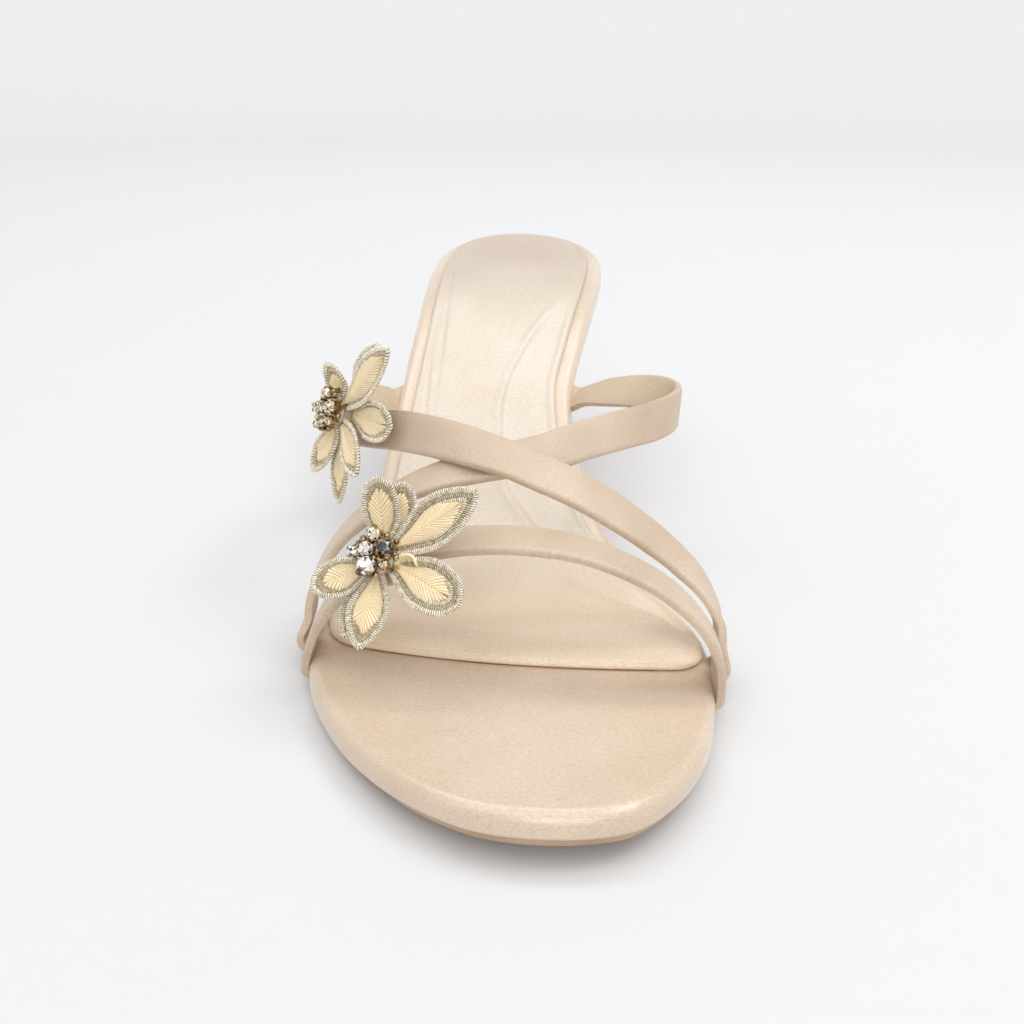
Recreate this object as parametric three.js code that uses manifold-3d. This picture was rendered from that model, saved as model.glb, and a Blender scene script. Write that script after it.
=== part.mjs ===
// A heeled mule sandal for the right foot: a satin footbed on a slim heel, held by three
// narrow straps that cross over the instep, with two embroidered flowers set with stones.
// Millimetres. +X is the inner (medial) side, +Y runs from toe to heel, +Z is up.
// The origin is on the floor, under the ball of the foot.

import * as THREE from 'three';
import { mergeVertices } from 'three/addons/utils/BufferGeometryUtils.js';
import Module from 'manifold-3d';

const wasm = await Module();
wasm.setup();

// Driving dimensions
const footbedLength = 246;
const ballWidth = 82;
const waistWidth = 46;
const seatWidth = 52.5;
const heelHeight = 62.4;
const instepHeight = 40;
const toeSpring = 9;
const seatPitch = 9;

const outsoleThickness = 2.2;
const footbedThickness = 4.5;
const sockThickness = 1.4;
const outsoleInset = 1.2;
const outsoleBottomRound = 0.9;
const footbedBottomRound = 0.8;
const footbedEdgeRound = 2.4;
const sockInset = 4.4;
const sockBallInset = 1.3;
const sockCornerInset = 3.4;
const sockEdgeRound = 0.8;

const strapWidth = 9.1;
const strapThickness = 1.7;
const strapEdgeRound = 0.45;
const strapLap = 0.4;
const crossStitchRadius = 2.4;
const tuckDepth = 8;
const tuckBulge = 2;

const heelInset = 1.3;
const heelTipWidth = 11;
const heelTipLength = 11;
const heelTipThickness = 3.5;
const heelTipForward = 19;
const heelTipBevel = 0.3;
const breastGap = 0.8;

const petalThickness = 1.1;
const petalReach = 16;
const petalWidth = 9;
const spoolRadius = 4.8;
const spoolPost = 2.3;
const spoolPlate = 0.9;
const spoolFoot = 1.5;
const stoneRadius = 1.9;
const settingHeight = 1.5;

const clearance = 0.3;

// Where the pieces begin and end along the footbed, as shares of its length from the toe. The
// sock's corners and the slant of its front edge are shares of that length too.
const ballAlong = 0.2846;
const breastAlong = 0.813;
const sockAlong = 0.197;
const sockCorner = 0.035;
const sockSlant = 0.042;
const sockWaistAlong = 0.45;

// Slope of the sole along its length: the share of toe spring, shank pitch and seat pitch
const profileRows = [
  { along: 0, toe: 1, shank: 0, seat: 0 },
  { along: 0.1016, toe: 0.55, shank: 0, seat: 0 },
  { along: 0.2033, toe: 0, shank: 0, seat: 0 },
  { along: 0.3171, toe: 0, shank: 0, seat: 0 },
  { along: 0.4675, toe: 0, shank: 1, seat: 0 },
  { along: 0.6585, toe: 0, shank: 1, seat: 0 },
  { along: 0.8211, toe: 0, shank: 0, seat: 1 },
  { along: 1, toe: 0, shank: 0, seat: 1 },
];

// Outline of the footbed: how far each edge stands from the centre line, as a share of the
// width that the row follows
const widths = { ball: ballWidth, waist: waistWidth, seat: seatWidth };
const outlineRows = [
  { along: 0, follows: 'ball', lateral: -0.126, medial: 0.126 },
  { along: 0.0081, follows: 'ball', lateral: 0.028, medial: 0.261 },
  { along: 0.0203, follows: 'ball', lateral: 0.098, medial: 0.314 },
  { along: 0.0407, follows: 'ball', lateral: 0.179, medial: 0.366 },
  { along: 0.065, follows: 'ball', lateral: 0.25, medial: 0.412 },
  { along: 0.1016, follows: 'ball', lateral: 0.334, medial: 0.459 },
  { along: 0.1463, follows: 'ball', lateral: 0.408, medial: 0.493 },
  { along: 0.191, follows: 'ball', lateral: 0.461, medial: 0.512 },
  { along: 0.2358, follows: 'ball', lateral: 0.484, medial: 0.516 },
  { along: 0.2764, follows: 'ball', lateral: 0.483, medial: 0.495 },
  { along: 0.3211, follows: 'ball', lateral: 0.47, medial: 0.452 },
  { along: 0.374, follows: 'ball', lateral: 0.447, medial: 0.38 },
  { along: 0.4309, follows: 'ball', lateral: 0.422, medial: 0.297 },
  { along: 0.4919, follows: 'waist', lateral: 0.709, medial: 0.425 },
  { along: 0.5528, follows: 'waist', lateral: 0.67, medial: 0.379 },
  { along: 0.6138, follows: 'waist', lateral: 0.63, medial: 0.37 },
  { along: 0.6748, follows: 'waist', lateral: 0.598, medial: 0.433 },
  { along: 0.7358, follows: 'seat', lateral: 0.499, medial: 0.438 },
  { along: 0.7967, follows: 'seat', lateral: 0.484, medial: 0.49 },
  { along: 0.8496, follows: 'seat', lateral: 0.474, medial: 0.524 },
  { along: 0.8984, follows: 'seat', lateral: 0.45, medial: 0.53 },
  { along: 0.939, follows: 'seat', lateral: 0.4, medial: 0.49 },
  { along: 0.9675, follows: 'seat', lateral: 0.318, medial: 0.4 },
  { along: 0.9878, follows: 'seat', lateral: 0.19, medial: 0.262 },
  { along: 1, follows: 'seat', lateral: -0.03, medial: 0.03 },
];

const lerp = THREE.MathUtils.lerp;
const radians = THREE.MathUtils.degToRad;
const topHeight = outsoleThickness + clearance + footbedThickness;

// Value of one column of a table at a share of the length, in a straight line between rows
function columnAt(rows, column, along) {
  const next = rows.findIndex((row) => row.along >= along);
  if (next <= 0) {
    return rows[next < 0 ? rows.length - 1 : 0][column];
  }
  const before = rows[next - 1];
  const share = (along - before.along) / (rows[next].along - before.along);
  return lerp(before[column], rows[next][column], share);
}

// Centre line of the footbed's top, in equal steps from the toe: y, z and slope of each
const profileSteps = 492;

function footbedLine(shankPitch) {
  const step = footbedLength / profileSteps;
  const line = [{ y: 0, z: 0, slope: radians(-toeSpring) }];
  for (let i = 1; i <= profileSteps; i++) {
    const along = (i - 0.5) / profileSteps;
    const slope = radians(
      shankPitch * columnAt(profileRows, 'shank', along)
      + seatPitch * columnAt(profileRows, 'seat', along)
      - toeSpring * columnAt(profileRows, 'toe', along));
    const last = line[i - 1];
    line.push({ y: last.y + step * Math.cos(slope), z: last.z + step * Math.sin(slope), slope });
  }
  const ball = line[Math.round(ballAlong * profileSteps)];
  return line.map((at) => ({ y: at.y - ball.y, z: at.z - ball.z + topHeight, slope: at.slope }));
}

// The shank's pitch is the one that brings the back of the seat to the heel height
function solveShankPitch() {
  let low = 0;
  let high = 70;
  for (let i = 0; i < 40; i++) {
    const middle = (low + high) / 2;
    if (footbedLine(middle)[profileSteps].z < heelHeight) {
      low = middle;
    } else {
      high = middle;
    }
  }
  return (low + high) / 2;
}

const centreLine = footbedLine(solveShankPitch());

// Point of the sole: along the top from the toe, across, and up from the outsole's underside
function onSole(along, across, up) {
  const at = THREE.MathUtils.clamp(along, 0, 1) * profileSteps;
  const index = Math.min(Math.floor(at), profileSteps - 1);
  const before = centreLine[index];
  const after = centreLine[index + 1];
  const share = at - index;
  const slope = lerp(before.slope, after.slope, share);
  const rise = up - topHeight;
  return new THREE.Vector3(
    across,
    lerp(before.y, after.y, share) - rise * Math.sin(slope),
    lerp(before.z, after.z, share) + rise * Math.cos(slope));
}

// Height of the footbed's top above the floor at a place along the shoe
function footbedTopAt(y) {
  const after = Math.max(1, centreLine.findIndex((at) => at.y >= y));
  const before = centreLine[after - 1];
  const share = (y - before.y) / (centreLine[after].y - before.y);
  return lerp(before.z, centreLine[after].z, share);
}

// Edges of the footbed. A turn from 0 at the toe to PI at the heel spaces the rows closely
// where the outline is round.
const turnOf = (along) => Math.acos(1 - 2 * along);
const alongOf = (turn) => (1 - Math.cos(turn)) / 2;
const outlineTurns = outlineRows.map((row) => turnOf(row.along));
const edgeCurves = {
  lateral: new THREE.CubicInterpolant(
    outlineTurns, outlineRows.map((row) => -row.lateral * widths[row.follows]), 1),
  medial: new THREE.CubicInterpolant(
    outlineTurns, outlineRows.map((row) => row.medial * widths[row.follows]), 1),
};

function edgeAcross(side, turn) {
  return edgeCurves[side].evaluate(THREE.MathUtils.clamp(turn, 0, Math.PI))[0];
}

// Point of the outline, moved inwards: its share along and its place across
function edgePoint(side, turn, inset) {
  const step = 0.002;
  const before = Math.max(0, turn - step);
  const after = Math.min(Math.PI, turn + step);
  const acrossRate = (edgeAcross(side, after) - edgeAcross(side, before)) / (after - before);
  const alongRate = footbedLength * Math.sin(turn) / 2;
  const length = Math.hypot(acrossRate, alongRate);
  const inwards = side === 'lateral' ? 1 : -1;
  return {
    along: alongOf(turn) - inwards * inset * acrossRate / length / footbedLength,
    across: edgeAcross(side, turn) + inwards * inset * alongRate / length,
  };
}

// Joins a geometry's shared corners and leaves out the triangles that have closed up
function closed(geometry) {
  geometry.deleteAttribute('normal');
  geometry.deleteAttribute('uv');
  const merged = mergeVertices(geometry, 0.002);
  const kept = [];
  for (let i = 0; i < merged.index.count; i += 3) {
    const corners = [0, 1, 2].map((corner) => merged.index.getX(i + corner));
    if (new Set(corners).size === 3) {
      kept.push(...corners);
    }
  }
  merged.setIndex(kept);
  merged.computeVertexNormals();
  return merged;
}

// Moves each corner of a geometry to the place that a function gives it
function shaped(geometry, place) {
  const position = geometry.attributes.position;
  const corner = new THREE.Vector3();
  for (let i = 0; i < position.count; i++) {
    corner.fromBufferAttribute(position, i);
    const to = place(corner);
    position.setXYZ(i, to.x, to.y, to.z);
  }
  return closed(geometry);
}

// A layer of the sole between two places along it. Its levels go up the rim, each with its
// inset and its height over the outsole's underside.
function soleLayer({ levels, from, to, rows, columns, insetAt = () => 0, shiftAt = () => 0 }) {
  const box = new THREE.BoxGeometry(1, 1, 1, columns, levels.length - 1, rows);
  return shaped(box, (corner) => {
    const turn = lerp(turnOf(to), turnOf(from), corner.z + 0.5);
    const level = levels[Math.round((corner.y + 0.5) * (levels.length - 1))];
    const inset = level.inset + insetAt(alongOf(turn));
    const lateral = edgePoint('lateral', turn, inset);
    const medial = edgePoint('medial', turn, inset);
    const share = corner.x + 0.5;
    return onSole(
      lerp(lateral.along, medial.along, share) + shiftAt(alongOf(turn), share),
      lerp(lateral.across, medial.across, share),
      level.height);
  });
}

// A closed geometry as a solid that can be joined and cut, and back again
function solid(geometry) {
  return new wasm.Manifold(new wasm.Mesh({
    numProp: 3,
    vertProperties: Float32Array.from(geometry.attributes.position.array),
    triVerts: Uint32Array.from(geometry.index.array),
  }));
}

function geometryOf(body) {
  const mesh = body.getMesh();
  const geometry = new THREE.BufferGeometry();
  geometry.setAttribute('position', new THREE.BufferAttribute(mesh.vertProperties, 3));
  geometry.setIndex(new THREE.BufferAttribute(mesh.triVerts, 1));
  return closed(geometry);
}

// Finishes of the visible materials
const finishes = {
  satin: { color: 0xe6d2b8, roughness: 0.42, metalness: 0 },
  sockSatin: { color: 0xeedfcb, roughness: 0.38, metalness: 0 },
  soleLeather: { color: 0xcdb09a, roughness: 0.55, metalness: 0 },
  tipRubber: { color: 0x8a7663, roughness: 0.7, metalness: 0 },
  raffia: { color: 0xe3cf9c, roughness: 0.6, metalness: 0 },
  gold: { color: 0xb9a06a, roughness: 0.3, metalness: 1 },
  stone: { color: 0xe9edf0, roughness: 0.05, metalness: 0 },
};

const shoe = new THREE.Group();

function addPiece(name, geometry, finish, parent = shoe) {
  const mesh = new THREE.Mesh(geometry, new THREE.MeshStandardMaterial(finishes[finish]));
  mesh.name = name;
  parent.add(mesh);
  return mesh;
}

// Outsole: a thin leather sole from the toe to the front of the heel
addPiece('outsole', soleLayer({
  levels: [
    { inset: outsoleInset + outsoleBottomRound, height: 0 },
    { inset: outsoleInset, height: outsoleBottomRound },
    { inset: outsoleInset, height: outsoleThickness },
  ],
  from: 0,
  to: breastAlong,
  rows: 30,
  columns: 6,
}), 'soleLeather');

// Straps. Each is a flat band along a route. A route's rows give the centre of the band:
// across as a share of half the ball's width, along as a share of the footbed's length from
// the ball, rise as a share of the instep height over the footbed. Pitch and swing give the
// direction of the band's back edge: its angle over the floor, and towards the inner side.
// Each end is anchored under an edge of the footbed, at a share of its length from the toe.
// Slot counts the straps that are anchored in front of it, slant leans the end back as it
// goes in, and bulge is how far it stands out of the edge, as a share of the tuck's bulge.
const strapRoutes = {
  vamp: {
    start: { side: 'medial', along: 0.187, slot: 0, slant: 0, bulge: 0.25 },
    rows: [
      { across: 1.025, along: -0.102, rise: 0.12, pitch: 2, swing: 0 },
      { across: 0.992, along: -0.102, rise: 0.225, pitch: 3, swing: 0 },
      { across: 0.917, along: -0.1, rise: 0.347, pitch: 4, swing: 0 },
      { across: 0.776, along: -0.093, rise: 0.475, pitch: 5, swing: 0 },
      { across: 0.6, along: -0.087, rise: 0.572, pitch: 5, swing: 0 },
      { across: 0.35, along: -0.079, rise: 0.65, pitch: 5, swing: 0 },
      { across: 0.093, along: -0.069, rise: 0.663, pitch: 7, swing: 0 },
      { across: -0.16, along: -0.062, rise: 0.64, pitch: 9, swing: 0 },
      { across: -0.4, along: -0.056, rise: 0.573, pitch: 8, swing: 0 },
      { across: -0.64, along: -0.052, rise: 0.445, pitch: 6, swing: 0 },
      { across: -0.82, along: -0.051, rise: 0.285, pitch: 4, swing: 0 },
      { across: -0.918, along: -0.052, rise: 0.13, pitch: 2, swing: 0 },
    ],
    end: { side: 'lateral', along: 0.232, slot: 0, slant: 0, bulge: 0.1 },
  },
  under: {
    start: { side: 'lateral', along: 0.232, slot: 1, slant: 0, bulge: 1.2 },
    rows: [
      { across: -1.005, along: -0.008, rise: 0.06, pitch: 2, swing: 0 },
      { across: -0.98, along: 0, rise: 0.2, pitch: 4, swing: 0 },
      { across: -0.915, along: 0.007, rise: 0.34, pitch: 6, swing: 0 },
      { across: -0.8, along: 0.01, rise: 0.495, pitch: 8, swing: 0 },
      { across: -0.63, along: 0.009, rise: 0.64, pitch: 10, swing: 0 },
      { across: -0.43, along: 0.006, rise: 0.765, pitch: 14, swing: 0 },
      { across: -0.195, along: 0.001, rise: 0.86, pitch: 22, swing: 0 },
      { across: 0.05, along: 0.004, rise: 0.906, pitch: 28, swing: 0 },
      { across: 0.22, along: 0.022, rise: 0.902, pitch: 30, swing: 0 },
      { across: 0.4, along: 0.053, rise: 0.893, pitch: 34, swing: 0 },
      { across: 0.62, along: 0.093, rise: 0.832, pitch: 44, swing: 0 },
      { across: 0.82, along: 0.129, rise: 0.74, pitch: 58, swing: 0 },
      { across: 0.95, along: 0.158, rise: 0.655, pitch: 74, swing: 0 },
      { across: 1.003, along: 0.187, rise: 0.55, pitch: 84, swing: 90 },
      { across: 0.95, along: 0.213, rise: 0.455, pitch: 66, swing: 60 },
      { across: 0.82, along: 0.234, rise: 0.36, pitch: 52, swing: 55 },
      { across: 0.68, along: 0.254, rise: 0.245, pitch: 42, swing: 55 },
      { across: 0.555, along: 0.273, rise: 0.125, pitch: 34, swing: 55 },
    ],
    end: { side: 'medial', along: 0.612, slot: 0, slant: 0.6, bulge: 1 },
  },
  over: {
    start: { side: 'medial', along: 0.187, slot: 1, slant: 0, bulge: 1.2 },
    rows: [
      { across: 1.08, along: -0.057, rise: 0.07, pitch: 4, swing: 0 },
      { across: 1.066, along: -0.047, rise: 0.18, pitch: 8, swing: 0 },
      { across: 0.99, along: -0.034, rise: 0.315, pitch: 14, swing: 0 },
      { across: 0.874, along: -0.024, rise: 0.432, pitch: 21, swing: 0 },
      { across: 0.742, along: -0.02, rise: 0.542, pitch: 28, swing: 0 },
      { across: 0.573, along: -0.019, rise: 0.67, pitch: 33, swing: 0 },
      { across: 0.39, along: -0.018, rise: 0.787, pitch: 34, swing: 0 },
      { across: 0.21, along: -0.015, rise: 0.873, pitch: 33, swing: 0 },
      { across: 0.03, along: -0.008, rise: 0.94, pitch: 30, swing: 0 },
      { across: -0.13, along: 0.004, rise: 0.966, pitch: 32, swing: 0 },
      { across: -0.319, along: 0.031, rise: 0.963, pitch: 38, swing: 0 },
      { across: -0.53, along: 0.068, rise: 0.91, pitch: 52, swing: 0 },
      { across: -0.74, along: 0.106, rise: 0.8, pitch: 68, swing: 0 },
      { across: -0.92, along: 0.143, rise: 0.66, pitch: 82, swing: 0 },
      { across: -1.015, along: 0.178, rise: 0.51, pitch: 88, swing: -90 },
      { across: -1.005, along: 0.209, rise: 0.385, pitch: 74, swing: -60 },
      { across: -0.925, along: 0.237, rise: 0.275, pitch: 58, swing: -55 },
      { across: -0.835, along: 0.262, rise: 0.145, pitch: 46, swing: -50 },
    ],
    end: { side: 'lateral', along: 0.61, slot: 0, slant: 0.5, bulge: 1 },
  },
};

// Points of a strap's end, from inside the sole to beside it: how far inside the edge as a
// share of the tuck's depth, how far outside as a share of the anchor's bulge, and how far up
// as a share of the strap's thickness
const tuckRows = [
  { inside: 1, outside: 0, up: 0 },
  { inside: 0.35, outside: 0, up: 0 },
  { inside: 0, outside: 0.3, up: 0.12 },
  { inside: 0, outside: 1, up: 1.05 },
];

// Straps that are anchored side by side lap a little, so they join there
function anchorAlong({ along, slot }) {
  return along + slot * (strapWidth - strapLap) / footbedLength;
}

function tuckPoints(anchor) {
  const middleAlong = anchorAlong(anchor);
  const outwards = anchor.side === 'lateral' ? -1 : 1;
  const middle = outsoleThickness + clearance + strapThickness / 2;
  return tuckRows.map((row) => {
    const out = row.outside * anchor.bulge * tuckBulge - row.inside * tuckDepth;
    const along = middleAlong - anchor.slant * out / footbedLength;
    const edge = edgeAcross(anchor.side, turnOf(middleAlong));
    return onSole(along, edge + outwards * out, middle + row.up * strapThickness);
  });
}

// Direction of the band's back edge where it is tucked into the sole
function tuckEdge(anchor) {
  const outwards = anchor.side === 'lateral' ? -1 : 1;
  const step = 0.01;
  const here = onSole(anchorAlong(anchor), 0, 0);
  const back = onSole(anchorAlong(anchor) + step, 0, 0).sub(here).normalize();
  return back.add(new THREE.Vector3(outwards * anchor.slant, 0, 0)).normalize();
}

function rowPoint(row) {
  const y = row.along * footbedLength;
  return new THREE.Vector3(
    row.across * ballWidth / 2, y, footbedTopAt(y) + row.rise * instepHeight);
}

function rowEdge(row) {
  const pitch = radians(row.pitch);
  const swing = radians(row.swing);
  return new THREE.Vector3(
    Math.sin(swing) * Math.cos(pitch), Math.cos(swing) * Math.cos(pitch), Math.sin(pitch));
}

function strapRoute({ start, rows, end }) {
  const first = tuckPoints(start);
  const last = tuckPoints(end).reverse();
  return {
    curve: new THREE.CatmullRomCurve3([...first, ...rows.map(rowPoint), ...last]),
    edges: [
      ...first.map(() => tuckEdge(start)), ...rows.map(rowEdge), ...last.map(() => tuckEdge(end)),
    ],
  };
}

// Frame of a strap at a share of its route: its centre, its run, its back edge's direction
// and the direction that its outer face looks in
function strapFrame(route, share) {
  const at = share * (route.edges.length - 1);
  const index = Math.min(Math.floor(at), route.edges.length - 2);
  const edge = route.edges[index].clone().lerp(route.edges[index + 1], at - index);
  const run = route.curve.getTangent(share);
  edge.addScaledVector(run, -edge.dot(run)).normalize();
  return { centre: route.curve.getPoint(share), run, edge, face: run.clone().cross(edge) };
}

// Corners of the band's section: its place along the width and through the thickness
function bandSection(extra) {
  const halfWidth = strapWidth / 2 + extra;
  const halfThickness = strapThickness / 2 + extra;
  const side = [halfWidth, halfThickness - strapEdgeRound];
  const top = [halfWidth - strapEdgeRound, halfThickness];
  return [
    side, top, [-top[0], top[1]], [-side[0], side[1]],
    [-side[0], -side[1]], [-top[0], -top[1]], [top[0], -top[1]], [side[0], -side[1]],
  ];
}

const strapStepsPerRow = 2;

function strapBand(route, extra = 0) {
  const section = bandSection(extra);
  const steps = strapStepsPerRow * (route.edges.length - 1);
  const tube = new THREE.CylinderGeometry(1, 1, 1, section.length, steps);
  return shaped(tube, (corner) => {
    const share = 0.5 - corner.y;
    const frame = strapFrame(route, share);
    const point = frame.centre;
    const radius = Math.hypot(corner.x, corner.z);
    if (radius > 0.5) {
      const turn = Math.round(Math.atan2(corner.z, corner.x) / (2 * Math.PI) * section.length);
      const [along, through] = section[(turn + section.length) % section.length];
      point.addScaledVector(frame.edge, along).addScaledVector(frame.face, through);
    }
    if (share === 0 || share === 1) {
      point.addScaledVector(frame.run, share === 0 ? -extra : extra);
    }
    return point;
  });
}

const routes = Object.values(strapRoutes).map(strapRoute);
const routeOf = Object.fromEntries(Object.keys(strapRoutes).map((name, i) => [name, routes[i]]));

// The stitch that joins the two crossing straps runs between their nearest centres, in the
// middle half of the shoe
const stitchSearchSteps = 200;
const stitchSides = 10;

function crossStitch(lower, over) {
  const shares = Array.from({ length: stitchSearchSteps + 1 }, (unused, i) => i / stitchSearchSteps);
  const from = new THREE.Vector3();
  const to = new THREE.Vector3(Infinity, 0, 0);
  for (const low of shares.map((share) => lower.curve.getPoint(share))) {
    for (const high of shares.map((share) => over.curve.getPoint(share))) {
      if (Math.abs(low.x) < ballWidth / 4 && low.distanceTo(high) < from.distanceTo(to)) {
        from.copy(low);
        to.copy(high);
      }
    }
  }
  const run = to.clone().sub(from);
  const post = new THREE.CylinderGeometry(
    crossStitchRadius, crossStitchRadius, run.length(), stitchSides);
  post.applyQuaternion(new THREE.Quaternion().setFromUnitVectors(
    new THREE.Vector3(0, 1, 0), run.clone().normalize()));
  post.translate(...from.lerp(to, 0.5).toArray());
  return closed(post);
}

const upper = routes.map((route) => solid(strapBand(route)))
  .reduce((all, band) => all.add(band))
  .add(solid(crossStitch(routeOf.under, routeOf.over)));
const strapRoom = routes.map((route) => solid(strapBand(route, clearance)))
  .reduce((all, band) => all.add(band));
addPiece('upper_straps', geometryOf(upper), 'satin');

// Footbed: the insole board wrapped in satin, with a rounded top edge, and recessed
// underneath for the ends of the straps
const footbedBase = outsoleThickness + clearance;
const roundSteps = 2;
const footbedLevels = [
  { inset: footbedBottomRound, height: footbedBase },
  { inset: 0, height: footbedBase + footbedBottomRound },
];
for (let i = 0; i <= roundSteps; i++) {
  const turn = i / roundSteps * Math.PI / 2;
  footbedLevels.push({
    inset: footbedEdgeRound * (1 - Math.cos(turn)),
    height: topHeight - footbedEdgeRound * (1 - Math.sin(turn)),
  });
}
const footbed = soleLayer({ levels: footbedLevels, from: 0, to: 1, rows: 34, columns: 6 });
addPiece('footbed', geometryOf(solid(footbed).subtract(strapRoom)), 'satin');

// Sock: the padded lining of the footbed, from behind the toes to the heel, with round
// corners at its front
const sockBase = topHeight + clearance;

function sockInsetAt(along) {
  const past = THREE.MathUtils.smoothstep(along, sockAlong, sockWaistAlong);
  const corner = Math.max(0, 1 - (along - sockAlong) / sockCorner);
  return lerp(sockBallInset, sockInset, past) + sockCornerInset * corner ** 2;
}

// The front edge runs further back on the outer side
function sockShiftAt(along, share) {
  const left = 1 - THREE.MathUtils.smoothstep(along, sockAlong, sockWaistAlong);
  return sockSlant * left * (1 - share) ** 2;
}

addPiece('sock', soleLayer({
  levels: [
    { inset: 0, height: sockBase },
    { inset: 0, height: sockBase + sockThickness - sockEdgeRound },
    { inset: sockEdgeRound, height: sockBase + sockThickness },
  ],
  from: sockAlong,
  to: 1,
  rows: 28,
  columns: 6,
  insetAt: sockInsetAt,
  shiftAt: sockShiftAt,
}), 'sockSatin');

// Heel: from a seat that follows the footbed down to a small foot. Each ring runs along the
// straight front and round the back.
const heelFrontSides = 6;
const heelBackSides = 18;
const heelSides = heelFrontSides + heelBackSides;
const heelTop = outsoleThickness;

function seatRing(share) {
  const start = turnOf(breastAlong + breastGap / footbedLength);
  const front = heelFrontSides / heelSides;
  if (share <= front) {
    const left = edgePoint('lateral', start, heelInset);
    const right = edgePoint('medial', start, heelInset);
    return onSole(left.along, lerp(left.across, right.across, share / front), heelTop);
  }
  const round = (share - front) / (1 - front);
  const side = round < 0.5 ? 'medial' : 'lateral';
  const turn = lerp(start, Math.PI, 1 - Math.abs(2 * round - 1));
  const point = edgePoint(side, turn, heelInset);
  return onSole(point.along, point.across, heelTop);
}

const seatBack = onSole(1, 0, heelTop);
const heelTipCentre = new THREE.Vector3(
  edgeAcross('medial', Math.PI), seatBack.y - heelTipForward, 0);

function heelTipRing(share, height, inset = 0) {
  const front = heelFrontSides / heelSides;
  const halfWidth = heelTipWidth / 2 - inset;
  const halfLength = heelTipLength / 2 - inset;
  const point = heelTipCentre.clone().setZ(height);
  if (share <= front) {
    return point.add(new THREE.Vector3(
      lerp(-halfWidth, halfWidth, share / front), -halfLength, 0));
  }
  const turn = (share - front) / (1 - front) * Math.PI;
  return point.add(new THREE.Vector3(
    halfWidth * Math.cos(turn), halfLength * (2 * Math.sin(turn) - 1), 0));
}

// How far each ring of the heel has come from the seat's shape to the foot's
const heelRows = [
  { down: 0, narrowed: 0, forward: 0 },
  { down: 0.06, narrowed: 0.2, forward: 0.16 },
  { down: 0.14, narrowed: 0.42, forward: 0.34 },
  { down: 0.25, narrowed: 0.62, forward: 0.5 },
  { down: 0.4, narrowed: 0.79, forward: 0.64 },
  { down: 0.6, narrowed: 0.91, forward: 0.78 },
  { down: 0.8, narrowed: 0.98, forward: 0.9 },
  { down: 1, narrowed: 1, forward: 1 },
];

function ringSolid(sides, rings, place) {
  const tube = new THREE.CylinderGeometry(1, 1, 1, sides, rings - 1);
  return shaped(tube, (corner) => {
    const ring = Math.round((0.5 - corner.y) * (rings - 1));
    if (Math.hypot(corner.x, corner.z) < 0.5) {
      const middle = new THREE.Vector3();
      for (let i = 0; i < sides; i++) {
        middle.addScaledVector(place(i / sides, ring), 1 / sides);
      }
      return middle;
    }
    const turn = Math.atan2(corner.x, corner.z) / (2 * Math.PI);
    return place((Math.round(turn * sides) + sides) % sides / sides, ring);
  });
}

const seatCentre = new THREE.Vector3();
for (let i = 0; i < heelSides; i++) {
  seatCentre.addScaledVector(seatRing(i / heelSides), 1 / heelSides);
}
const heelFoot = heelTipThickness + clearance;

addPiece('heel', ringSolid(heelSides, heelRows.length, (share, ring) => {
  const { down, narrowed, forward } = heelRows[ring];
  const seat = seatRing(share).sub(seatCentre);
  const foot = heelTipRing(share, heelFoot).sub(heelTipCentre).setZ(0);
  const centre = seatCentre.clone().lerp(heelTipCentre.clone().setZ(heelFoot), forward);
  centre.z = lerp(seatCentre.z, heelFoot, down);
  return seat.lerp(foot, narrowed).add(centre);
}), 'satin');

addPiece('heel_tip', ringSolid(heelSides, 2, (share, ring) => (
  heelTipRing(share, ring === 0 ? heelTipThickness : 0, ring === 0 ? 0 : heelTipBevel)
)), 'tipRubber');

// Flowers. Each is a spool fixed on a strap, petals held between the spool's two plates, and
// stones in claw settings on its outer plate. Share is the spool's place along the strap's
// route, forward moves it towards the toe as a share of the strap's width, and stand-off lifts
// it from the strap in millimetres along its facing. A petal's turn is in degrees
// anticlockwise from the right of the flower, reach and width are shares of the petal's, lift
// is its rise in degrees, and layer counts from the strap.
const flowers = {
  front: {
    strap: 'vamp',
    share: 0.655,
    forward: 0.36,
    standOff: 1.2,
    facing: new THREE.Vector3(-0.24, -0.74, 0.63),
    petals: [
      { turn: 99, reach: 1, width: 0.95, lift: 26, layer: 1 },
      { turn: 40, reach: 1.48, width: 0.95, lift: 10, layer: 1 },
      { turn: -19, reach: 1.26, width: 1.1, lift: 2, layer: 1 },
      { turn: -88, reach: 1.14, width: 0.95, lift: 5, layer: 1 },
      { turn: -144, reach: 0.92, width: 0.9, lift: 14, layer: 1 },
      { turn: 80, reach: 1, width: 0.8, lift: 8, layer: 0 },
      { turn: -106, reach: 1.06, width: 0.75, lift: 0, layer: 0 },
    ],
  },
  back: {
    strap: 'over',
    share: 0.651,
    forward: -0.33,
    standOff: 1.2,
    facing: new THREE.Vector3(-0.76, -0.58, 0.28),
    petals: [
      { turn: 44, reach: 1.65, width: 0.92, lift: 6, layer: 1 },
      { turn: 114, reach: 0.75, width: 0.85, lift: 24, layer: 1 },
      { turn: -36, reach: 1.15, width: 0.9, lift: 6, layer: 1 },
      { turn: -104, reach: 1, width: 0.9, lift: 10, layer: 1 },
      { turn: 66, reach: 1.2, width: 0.85, lift: 0, layer: 0 },
      { turn: 5, reach: 1.18, width: 0.95, lift: 0, layer: 0 },
      { turn: -80, reach: 1.32, width: 0.85, lift: 0, layer: 0 },
    ],
  },
};

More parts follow.
